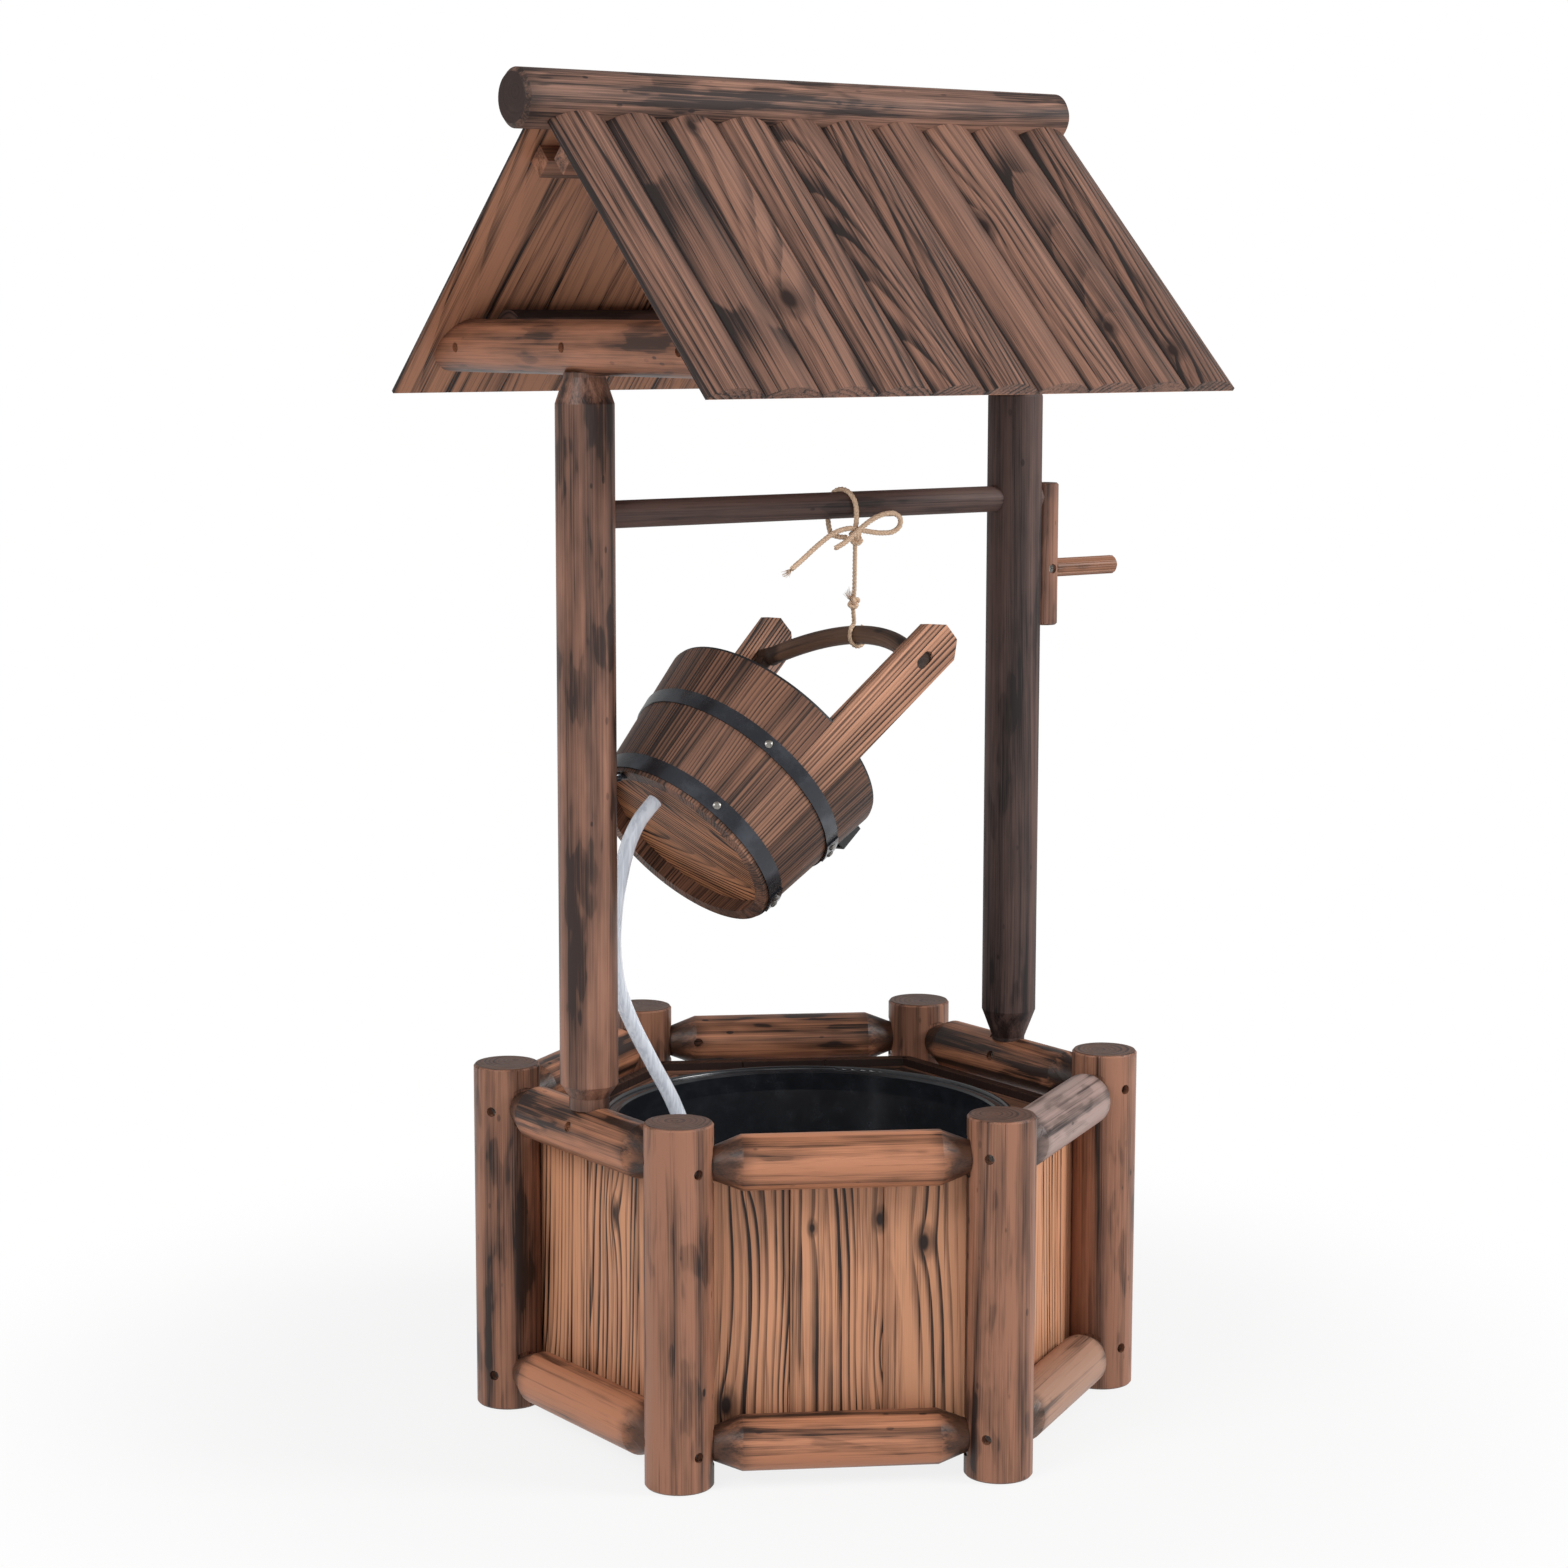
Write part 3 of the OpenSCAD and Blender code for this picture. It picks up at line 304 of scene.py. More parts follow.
@dataclass(frozen=True)
class WoodFinish:
    """Scorched and brushed fir: year rings, flames that follow them, fibres, stains and knots.

    Attributes:
        name: what the material's name starts with.
        light, dark, end: the bare wood, the scorched wood and the sawn ends.
        ring_mm: the width of a year ring.
        lines, flame, fibre, hair, stain: how much each darkens the wood, from the rings' late
            wood to broad stains.
        spread: how far boards differ from each other.
        bias: the darkness that all of it adds to.
        wander, taper: how far the rings wander, and how fast they shift along the grain.
        offset, quarter: how far from the tree's middle a board is sawn, and the range of that.
        edge: how much darker a board's edges are, as painted shade in the grooves between boards.
        knots, knot_mm, knot: the share of cells with a knot, a cell's size and the knots' colour.
        scorch, burn: the colour and the strength of the burn at the ends.
        roughness, relief: the surface's roughness and how strongly its relief shows.
        patch, specks: how dark hard-edged patches and small marks are.
        tones: the darkness of each board in turn.
        inner, inner_at, inner_colour: how much darker and what colour the side below that depth
            is; on the side boards this darkness is painted shade.
        heart: how deep below a board the tree's middle lies.
        run: how fast the fibres change along the grain.
    """

    name: str
    light: Rgba
    dark: Rgba
    end: Rgba
    ring_mm: float = 4.2
    lines: float = 0.35
    flame: float = 0.9
    fibre: float = 0.5
    hair: float = 0.3
    stain: float = 0.5
    spread: float = 0.3
    bias: float = 0.3
    wander: float = 7.0
    taper: float = 0.03
    offset: float = -60.0
    quarter: float = 120.0
    edge: float = 0.0
    knots: float = 0.3
    knot_mm: float = 120.0
    knot: Rgba = tint(38, 22, 16)
    scorch: Rgba = tint(40, 26, 21)
    roughness: float = 0.5
    relief: float = 0.6
    burn: float = 0.62
    patch: float = 0.0
    specks: float = 0.0
    tones: tuple[float, ...] = ()
    inner: float = 0.0
    inner_at: float = -4.0
    inner_colour: Rgba | None = None
    heart: float = 30.0
    run: float = 0.01

    def make(self, grain: Grain) -> bpy.types.Material:
        """Writes the material for one placement of the grain."""
        return Timber(self, grain).write()


class Timber:
    """Writes one wooden piece's material; lengths are in millimetres.

    Attributes:
        STAVE_MIDDLE: the radius at which a stave's width is measured.
        STAVE_CONE: the bottom radius of the cone that a stave's depth is counted from.
        LEDGE_MIDDLE: how far the ledge boards' middles lie from the centre.
        LOG_HEART, LOG_SHIFT: how far a log's heart may lie off its axis.
        SPECK_SCALE, SPECK_CELL: the spacing of small marks, as a scale and as a length.
        KNOT_CORE, KNOT_RIM: the radii between which a knot's heart and rim fade.
    """

    STAVE_MIDDLE = 95.0
    STAVE_CONE = 90.0
    LEDGE_MIDDLE = 180.0
    LOG_HEART = 4.0
    LOG_SHIFT = 14.0
    SPECK_SCALE = 0.09
    SPECK_CELL = 11.0
    KNOT_CORE = (5.5, 2.6)
    KNOT_RIM = (9.0, 5.5)

    def __init__(self, finish: WoodFinish, grain: Grain) -> None:
        """Lays the surface point out in the tree that the piece was sawn from.

        Args:
            finish: how the wood looks.
            grain: where the grain lies.
        """
        s = Shader(f"{finish.name}_{grain.layout.name.lower()}_{int(grain.seed)}")
        self.s, self.finish, self.grain = s, finish, grain
        self.local, self.face, self.reach, self.index, self.half = self.lay_out()
        first = s.chance(self.index, grain.seed + 1.3)
        self.second = s.chance(self.index, grain.seed + 7.9)
        self.third = s.chance(self.index, grain.seed + 4.1)
        if self.half:
            self.across = self.local + (first * finish.quarter + finish.offset)
            self.depth = self.face + finish.heart + self.second * 30.0
        else:
            self.across = self.local + (first - 0.5) * self.LOG_SHIFT
            self.depth = self.face + self.LOG_HEART + self.second * 8.0
        self.along = self.reach + first * 900.0 + self.third * 300.0

    def lay_out(self) -> tuple[Field, Field, Field, Number, float]:
        """Lays the surface point out in its own board.

        Returns:
            The distances across, into and along the grain, the number of the board and half its
            width, which is 0 for a log.
        """
        s, grain = self.s, self.grain
        point = s.place(grain.origin, tuple(grain.euler()), grain.mirrored)
        x, y, z = (part * 1000.0 for part in s.split(point))
        if grain.layout is Layout.LOG:
            return x, y, z, grain.seed, 0.0
        if grain.layout in (Layout.BOARDS, Layout.PLANKS):
            side, face, along = (y, x, z) if grain.layout is Layout.BOARDS else (x, z, y)
            index = s.maths("FLOOR", (side - grain.start) / grain.pitch)
            return (side - grain.start - (index + 0.5) * grain.pitch, face, along, index,
                    grain.pitch / 2)
        angle = s.maths("ARCTAN2", y, x)
        radius = s.maths("SQRT", x * x + y * y)
        if grain.layout is Layout.ARC:
            return radius - grain.pitch, z, angle * grain.pitch, grain.seed, 0.0
        step = math.radians(grain.pitch)
        index = s.maths("FLOOR", angle / step + 0.5)
        turn = angle - index * step
        if grain.layout is Layout.STAVES:
            return (turn * self.STAVE_MIDDLE, radius - self.STAVE_CONE - z * grain.lean, z, index,
                    step * self.STAVE_MIDDLE / 2)
        return (radius * s.maths("COSINE", turn) - self.LEDGE_MIDDLE, z,
                radius * s.maths("SINE", turn), index, 0.0)

    def sample(self, stretch: float, scale: float, detail: float, roughness: float) -> Field:
        """Gives a noise in the tree, stretched along the grain."""
        return self.s.noise(self.s.join(self.across, self.depth, self.along * stretch), scale,
                            detail, roughness)

    def board_tone(self) -> Field:
        """Gives each board of a row its own share of darkness.

        Returns:
            The share for the board that the surface point lies in.
        """
        tones = self.finish.tones
        ramp = self.s.add("ShaderNodeValToRGB", None, {"Fac": (self.index + 0.5) / len(tones)})
        stops = ramp.node.color_ramp
        while len(stops.elements) < len(tones):
            stops.elements.new(0.5)
        for k, (stop, tone) in enumerate(zip(stops.elements, tones)):
            stop.position = k / len(tones)
            stop.color = (tone + 0.5, 0.0, 0.0, 1.0)
        stops.interpolation = "CONSTANT"
        return self.s.split(ramp)[0] - 0.5

    def specks(self) -> Field:
        """Sprinkles small dark marks, such as those that bark and tools leave.

        Returns:
            A mask that is up to 1 inside a mark.
        """
        s = self.s
        distance, colour = s.cells(s.join(self.across, self.depth, self.along * 0.5),
                                   self.SPECK_SCALE, 1.0)
        pick, size, _ = s.split(colour)
        return ((distance * self.SPECK_CELL).step(2.0, 1.2) * pick.step(0.66, 0.7)
                * (size * 0.7 + 0.3))

    def knots(self) -> tuple[Field, Field, Field]:
        """Places chance knots and the marks that the photograph shows.

        Returns:
            How far the grain bends round a knot, the knots' hearts and their rims.
        """
        s, finish, grain = self.s, self.finish, self.grain
        distance, colour = s.cells(s.join(self.across, self.depth, self.along * 0.42),
                                   1.0 / finish.knot_mm, 0.9)
        away = distance * finish.knot_mm
        knotty = s.split(colour)[0].step(1.0 - finish.knots, 1.02 - finish.knots)
        around = s.maths("EXPONENT", away * -0.08) * knotty
        core = away.step(*self.KNOT_CORE) * knotty
        rim = away.step(*self.KNOT_RIM) * knotty
        place = self.local + (self.index + 0.5) * grain.pitch + grain.start
        for side, height, size in grain.marks:
            aside = place - side
            above = (self.reach - height) * 0.55
            gap = s.maths("SQRT", aside * aside + above * above)
            around = around + s.maths("EXPONENT", gap * (-0.4 / size)) * (size / 18)
            core = s.maths("MAXIMUM", core, gap.step(size, size * 0.4))
            rim = s.maths("MAXIMUM", rim, gap.step(size * 1.9, size))
        return around, core, rim

    def rings(self, around: Field) -> tuple[Field, Field]:
        """Cuts through the tree's year rings.

        Args:
            around: how far the grain bends round a knot.

        Returns:
            The late wood's lines, and the distance across the grain that the fibres follow.
        """
        s, finish = self.s, self.finish
        slow = self.sample(0.13, 0.012, 1.0, 0.4) - 0.5
        quick = self.sample(0.1, 0.045, 2.0, 0.5) - 0.5
        radius = s.maths("SQRT", self.across * self.across + self.depth * self.depth)
        rings = (radius + slow * finish.wander * 7.0 + quick * finish.wander + around * 15.0
                 + self.along * (self.second - 0.5) * finish.taper * 2.0)
        wide = (s.noise(s.join(rings, self.grain.seed, 0.0), 0.05, 1.0, 0.5) - 0.5) * 9.0
        year = (rings + wide) / finish.ring_mm
        turn = s.maths("FRACT", year)
        weight = s.chance(s.maths("FLOOR", year), self.grain.seed + 2.7)
        late = turn.step(0.35, 0.88) * turn.step(1.0, 0.93) * (weight * 0.9 + 0.35)
        if self.half:
            steep = (s.maths("ABSOLUTE", self.across) / radius * 2.0).clamp()
            late = late * (steep * 0.88 + 0.12)
        return late, self.across + slow * finish.wander * 5.0 + quick * 2.0 + around * 8.0

    def write(self) -> bpy.types.Material:
        """Writes the material: darkness first, then its colours, ends and relief.

        Returns:
            The finished material.
        """
        s, finish, grain = self.s, self.finish, self.grain
        inside = self.face.step(finish.inner_at + 0.6, finish.inner_at)
        around, core, rim = self.knots()
        late, skin = self.rings(around)
        flame, fine, hair = (
            s.noise(s.join(skin, self.depth, self.along * run), scale, 3.0, roughness)
            for run, scale, roughness in ((0.02, 0.09, 0.55), (finish.run, 0.9, 0.65),
                                          (finish.run * 1.2, 0.3, 0.6)))
        broad = self.sample(0.25, 0.03, 3.0, 0.6)
        shade = (late * finish.lines + (flame - 0.5) * finish.flame * 2.0
                 + (fine - 0.5) * finish.fibre * 2.0 + hair.step(0.55, 0.62) * finish.hair
                 + (broad - 0.5) * finish.stain * 2.0 + (self.third - 0.5) * finish.spread * 2.0
                 + finish.bias)
        if finish.patch:
            shade = shade + broad.step(0.55, 0.58) * finish.patch
        if finish.specks:
            shade = shade + self.specks() * finish.specks
        if finish.tones:
            shade = shade + self.board_tone()
        # The side below inner_at: painted shade on the side boards' inner faces, a paler colour
        # and less darkness on the roof planks' underside.
        if finish.inner:
            shade = shade + inside * finish.inner
        # Painted shade: a board's edges are darkened to stand in for the shade in the grooves
        # between boards.
        if finish.edge:
            border = s.maths("ABSOLUTE", self.local) / self.half
            shade = shade + border.step(0.8, 1.0) * finish.edge
        bare = s.blend(inside, finish.light, finish.inner_colour) if finish.inner_colour else finish.light
        colour = s.blend(shade.clamp(), bare, finish.dark)
        colour = s.blend((rim * 0.5).clamp(), colour, finish.dark)
        colour = s.blend(core, colour, finish.knot)
        if grain.ends:
            low, high = grain.ends
            cut = s.maths("MAXIMUM", self.reach.step(low + 1.0, low + 0.1),
                          self.reach.step(high - 1.0, high - 0.1))
            sawn = (late * 0.7 + (broad - 0.5) * 0.8 + 0.15).clamp()
            colour = s.blend(cut, colour, s.blend(sawn, finish.end, finish.dark))
        if grain.scorch:
            burnt = (s.maths("ABSOLUTE", self.reach) + (flame - 0.5) * 34.0).step(*grain.scorch)
            colour = s.blend(burnt * finish.burn, colour, finish.scorch)
        height = fine * 0.4 + late * 0.35 - core * 0.4 + 0.2
        rough = finish.roughness + (flame - 0.5) * -0.25 + (fine - 0.5) * 0.12
        return s.finish({"Base Color": colour, "Roughness": rough.clamp(),
                         "Specular IOR Level": 0.35}, height, 0.0006, finish.relief)


@dataclass(frozen=True)
class PlainFinish:
    """Moulded plastic, rubber, paint or bright metal with its own slight unevenness.

    Attributes:
        name: the material's name.
        colour, wear_and_sheen: the main colour and that of the paler or darker clouds in it, which
            on the hoops are partly worn paint and partly painted sheen.
        metallic, roughness, coat: the Principled shader's values.
        uneven: how much the roughness varies.
        scale: how fine the clouds are, for each metre.
        relief: how strongly the fine grit shows.
    """

    name: str
    colour: Rgba
    wear_and_sheen: Rgba
    metallic: float = 0.0
    roughness: float = 0.4
    uneven: float = 0.12
    scale: float = 60.0
    relief: float = 0.1
    coat: float = 0.0

    def make(self) -> bpy.types.Material:
        """Writes the material.

        Returns:
            The finished material.
        """
        s = Shader(self.name)
        point = s.place()
        cloud = s.noise(point, self.scale, 4.0, 0.6)
        grit = s.noise(point, self.scale * 14.0, 3.0, 0.6)
        wear_and_sheen_mask = (cloud.step(0.42, 0.75) * 0.7 + grit * 0.2).clamp()
        rough = self.roughness + (cloud - 0.5) * self.uneven * 2.0 + (grit - 0.5) * self.uneven
        return s.finish({"Base Color": s.blend(wear_and_sheen_mask, self.colour, self.wear_and_sheen),
                         "Roughness": rough.clamp(), "Metallic": self.metallic,
                         "Coat Weight": self.coat, "Coat Roughness": 0.15},
                        grit, 0.0002, self.relief)


@dataclass(frozen=True)
class HoseFinish:
    """Clear soft vinyl tube, with a faint white glow as painted light."""

    name: str = "clear_vinyl"
    colour: Rgba = tint(240, 243, 247)
    streaks: Rgba = tint(204, 209, 217)
    painted_glow: Rgba = tint(236, 240, 248)

    def make(self) -> bpy.types.Material:
        """Writes the material.

        Returns:
            The finished material.
        """
        s = Shader(self.name)
        x, y, z = s.split(s.place())
        streak = s.noise(s.join(x, y, z * 0.05), 330.0, 2.0, 0.6).step(0.42, 0.62)
        # Painted light: a faint white emission brightens the tube.
        return s.finish({"Base Color": s.blend(streak, self.colour, self.streaks),
                         "Roughness": 0.12 + streak * 0.12, "IOR": 1.4, "Coat Weight": 0.6,
                         "Emission Color": self.painted_glow, "Emission Strength": 0.16,
                         "Transmission Weight": 0.4}, streak, 0.0002, 0.1)


@dataclass(frozen=True)
class TwineFinish:
    """Laid jute: pale fibres with darker ones between them."""

    name: str = "jute_twine"
    light: Rgba = tint(242, 214, 186)
    dark: Rgba = tint(168, 130, 100)

    def make(self) -> bpy.types.Material:
        """Writes the material.

        Returns:
            The finished material.
        """
        s = Shader(self.name)
        point = s.place()
        hairs = s.noise(point, 1500.0, 4.0, 0.7)
        cloud = s.noise(point, 220.0, 2.0, 0.5)
        colour = s.blend((hairs.step(0.35, 0.7) * 0.7 + cloud * 0.3 - 0.1).clamp(),
                         self.light, self.dark)
        return s.finish({"Base Color": colour, "Roughness": 0.85,
                         "Specular IOR Level": 0.2}, hairs, 0.0003, 0.8)


LOG_WOOD = WoodFinish("scorched_log", tint(156, 109, 86), tint(38, 25, 21), tint(104, 72, 57),
                      lines=0.1, flame=1.4, fibre=0.7, hair=0.25, stain=0.9, bias=0.27,
                      wander=4.0, roughness=0.44, patch=0.2, specks=0.5)
RAIL_WOOD = replace(LOG_WOOD, name="rail_log", light=tint(186, 126, 94), dark=tint(44, 28, 22),
                    bias=0.18, burn=0.85)
# Painted shade: the boards' inner faces and their edges are darkened for the shade inside the well
# and between the boards.
PANEL_WOOD = WoodFinish("side_board", tint(214, 154, 118), tint(38, 23, 18), tint(74, 50, 40),
                        ring_mm=5.0, lines=0.85, flame=0.8, hair=0.45, stain=0.6,
                        spread=0.14, bias=0.02, wander=1.8, taper=0.05, offset=10.0,
                        quarter=70.0, knots=0.5, knot_mm=100.0, edge=0.3, inner=1.4)
POST_WOOD = replace(LOG_WOOD, name="tall_post", light=tint(156, 112, 92), dark=tint(50, 34, 29),
                    flame=0.95, fibre=0.55, hair=0.12, knots=0.15, burn=0.7)
BEAM_WOOD = replace(POST_WOOD, name="tie_beam", light=tint(166, 110, 82), dark=tint(58, 36, 27),
                    flame=0.9, fibre=0.6, hair=0.15, bias=0.25)
DARK_WOOD = replace(LOG_WOOD, name="dark_post", light=tint(96, 74, 68), dark=tint(32, 24, 23),
                    end=tint(90, 68, 60), knots=0.15, roughness=0.62)
RIDGE_WOOD = replace(LOG_WOOD, name="ridge_log", light=tint(156, 116, 98), dark=tint(44, 31, 28),
                     end=tint(62, 45, 39), lines=0.12, stain=0.6, fibre=0.9, hair=0.35,
                     roughness=0.64)
# Painted shade: the planks' edges are darkened for the shade in the grooves between them; their
# underside gets its own paler colour.
ROOF_WOOD = WoodFinish("roof_plank", tint(148, 108, 90), tint(36, 26, 24), tint(120, 88, 70),
                       ring_mm=4.6, lines=0.6, flame=0.55, fibre=0.8, hair=0.42, stain=0.35,
                       spread=0.0, bias=0.25, wander=3.0, taper=0.07, offset=-80.0,
                       quarter=160.0, edge=0.55, knots=0.35, knot_mm=150.0,
                       tones=(0.12, 0.18, -0.12, 0.06, 0.02, 0.1, 0.04, -0.06, 0.24, 0.07),
                       inner=-0.3, inner_at=-5.5, inner_colour=tint(190, 134, 104), heart=42.0)
# Painted shade: the staves' edges are darkened for the shade in the joints between them.
STAVE_WOOD = WoodFinish("bucket_stave", tint(134, 94, 74), tint(34, 24, 21), tint(150, 108, 84),
                        ring_mm=2.9, lines=0.75, flame=0.5, fibre=0.7, hair=0.4, stain=0.7,
                        spread=0.2, bias=0.28, wander=0.5, taper=0.01, offset=60.0, quarter=60.0,
                        edge=0.25, knots=0.12, run=0.003)
EAR_WOOD = replace(STAVE_WOOD, name="ear_stave", light=tint(204, 148, 118), dark=tint(42, 27, 22),
                   scorch=tint(62, 42, 34), burn=0.55, ring_mm=2.7, lines=0.85, bias=0.2,
                   stain=0.4, spread=0.1)
FLOOR_WOOD = replace(STAVE_WOOD, name="bucket_floor", light=tint(206, 142, 102),
                     dark=tint(26, 17, 13), ring_mm=2.8, lines=1.2, wander=2.4, taper=0.2,
                     flame=0.8, hair=0.3, bias=0.1, offset=12.0, quarter=24.0)
HANDLE_WOOD = replace(LOG_WOOD, name="handle_dowel", light=tint(152, 104, 78),
                      dark=tint(46, 31, 26), knots=0.0)
BAIL_WOOD = replace(DARK_WOOD, name="bail_stick", light=tint(116, 86, 68), dark=tint(36, 26, 22),
                    knots=0.0, relief=1.2, burn=0.85)

BASIN_GLOSS = PlainFinish("basin_gloss", tint(24, 26, 30), tint(38, 41, 46), roughness=0.24,
                          uneven=0.05, coat=0.3)
LINER_GLOSS = PlainFinish("liner_gloss", tint(22, 23, 26), tint(36, 38, 42), roughness=0.48)
PUMP_MATTE = PlainFinish("pump_matte", tint(28, 29, 32), tint(44, 45, 49), roughness=0.5)
IMPELLER_MATTE = PlainFinish("impeller_matte", tint(206, 204, 196), tint(180, 178, 170),
                             roughness=0.45)
FOOT_RUBBER = PlainFinish("foot_rubber", tint(26, 26, 27), tint(48, 47, 46), roughness=0.7)
# Paler clouds on the hoops: partly worn paint, partly painted sheen.
HOOP_PAINT = PlainFinish("hoop_paint", tint(44, 46, 52), tint(86, 90, 98), metallic=0.75,
                         roughness=0.27, uneven=0.05, scale=26.0, relief=0.02, coat=0.4)
SCREW_STEEL = PlainFinish("screw_steel", tint(150, 147, 142), tint(90, 85, 80), metallic=0.7,
                          roughness=0.35, scale=400.0)


def dress(nodes: Iterable[str], material: bpy.types.Material) -> None:
    """Gives CAD nodes their material.

    Args:
        nodes: the names of the nodes.
        material: what they are made of.
    """
    for node in nodes:
        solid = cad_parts[node]
        solid.data.materials.clear()
        solid.data.materials.append(material)
        LOG.info("dressed %s in %s", node, material.name)


def ends_of(node: str, axis: int) -> Span:
    """Gives where a log's two ends lie.

    Args:
        node: the log's CAD node.
        axis: the object's axis that the log runs along: 0, 1 or 2 for X, Y or Z.

    Returns:
        The two ends on that axis in millimetres.
    """
    low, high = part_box(node)
    return (low[axis] / MM, high[axis] / MM)


def polar(radius: float, degrees: float, z: float = 0.0) -> Point:
    """Turns a radius, a direction from X and a height in millimetres into a point in metres."""
    a = math.radians(degrees)
    return (radius * MM * math.cos(a), radius * MM * math.sin(a), z * MM)


def catmull(route: Sequence[Point], steps: int) -> list[Vector]:
    """Runs a smooth curve through chosen points.

    Args:
        route: the points in millimetres.
        steps: how many pieces each stretch gets.

    Returns:
        The curve's points in metres.
    """
    points = [Vector(p) for p in route]
    out: list[Vector] = []
    last = len(points) - 1
    for i in range(last):
        a, b, c, d = (points[min(max(k, 0), last)] for k in (i - 1, i, i + 1, i + 2))
        for j in range(steps):
            t = j / steps
            out.append(0.5 * (2 * b + (c - a) * t + (2 * a - 5 * b + 4 * c - d) * t * t
                              + (3 * b - a - 3 * c + d) * t ** 3))
    out.append(points[-1])
    return [p * MM for p in out]


def path_length(path: Sequence[Vector]) -> float:
    """Adds up the length of a path."""
    return sum((b - a).length for a, b in zip(path, path[1:]))


def carried_frames(path: Sequence[Vector]) -> list[tuple[Vector, Vector]]:
    """Carries a pair of side directions along a path without twist.

    Args:
        path: the points of the path.

    Returns:
        Two side directions for each point.
    """
    out: list[tuple[Vector, Vector]] = []
    side = Vector((0, 0, 1))
    for i, _ in enumerate(path):
        ahead = (path[min(i + 1, len(path) - 1)] - path[max(i - 1, 0)]).normalized()
        if i == 0:
            side = Vector((0, 0, 1)) if abs(ahead.z) < 0.8 else Vector((1, 0, 0))
        side = (side - ahead * side.dot(ahead)).normalized()
        out.append((side.copy(), ahead.cross(side)))
    return out


def linked(name: str, data: bpy.types.ID) -> bpy.types.Object:
    """Gives a mesh, camera or light its object at the origin, in the scene.

    Args:
        name: the object's name.
        data: what it holds.

    Returns:
        The new object.
    """
    made = bpy.data.objects.new(name, data)
    bpy.context.scene.collection.objects.link(made)
    return made


def mesh_object(name: str, points: Sequence[Vector], faces: Sequence[Sequence[int]],
                material: bpy.types.Material, smooth: bool = True) -> bpy.types.Object:
    """Makes a mesh object at the origin.

    Args:
        name: the piece's name.
        points: its points in metres.
        faces: its faces, each pointing outward.
        material: what it is made of.
        smooth: whether its faces are shaded smooth.

    Returns:
        The new object.
    """
    mesh = bpy.data.meshes.new(name)
    mesh.from_pydata([tuple(p) for p in points], [], [tuple(f) for f in faces])
    mesh.polygons.foreach_set("use_smooth", [smooth] * len(mesh.polygons))
    mesh.materials.append(material)
    mesh.update()
    return linked(name, mesh)


def pipe(name: str, path: Sequence[Vector], outer: float, inner: float, sides: int,
         material: bpy.types.Material) -> bpy.types.Object:
    """Sweeps a hollow pipe along a path.

    Args:
        name: the piece's name.
        path: its centreline in metres.
        outer: its outer radius in metres.
        inner: its inner radius in metres.
        sides: how many sides a ring has.
        material: what it is made of.

    Returns:
        The new object.
    """
    points: list[Vector] = []
    for centre, (right, up) in zip(path, carried_frames(path)):
        for radius in (outer, inner):
            for k in range(sides):
                turn = math.tau * k / sides
                points.append(centre + radius * (math.cos(turn) * right + math.sin(turn) * up))
    faces: list[tuple[int, ...]] = []
    ring = 2 * sides
    for i in range(len(path) - 1):
        for k in range(sides):
            a, b = i * ring + k, i * ring + (k + 1) % sides
            faces.append((a, b, b + ring, a + ring))
            faces.append((a + sides, a + sides + ring, b + sides + ring, b + sides))
    end = (len(path) - 1) * ring
    for k in range(sides):
        a, b = k, (k + 1) % sides
        faces.append((a, a + sides, b + sides, b))
        faces.append((end + a, end + b, end + b + sides, end + a + sides))
    return mesh_object(name, points, faces, material)


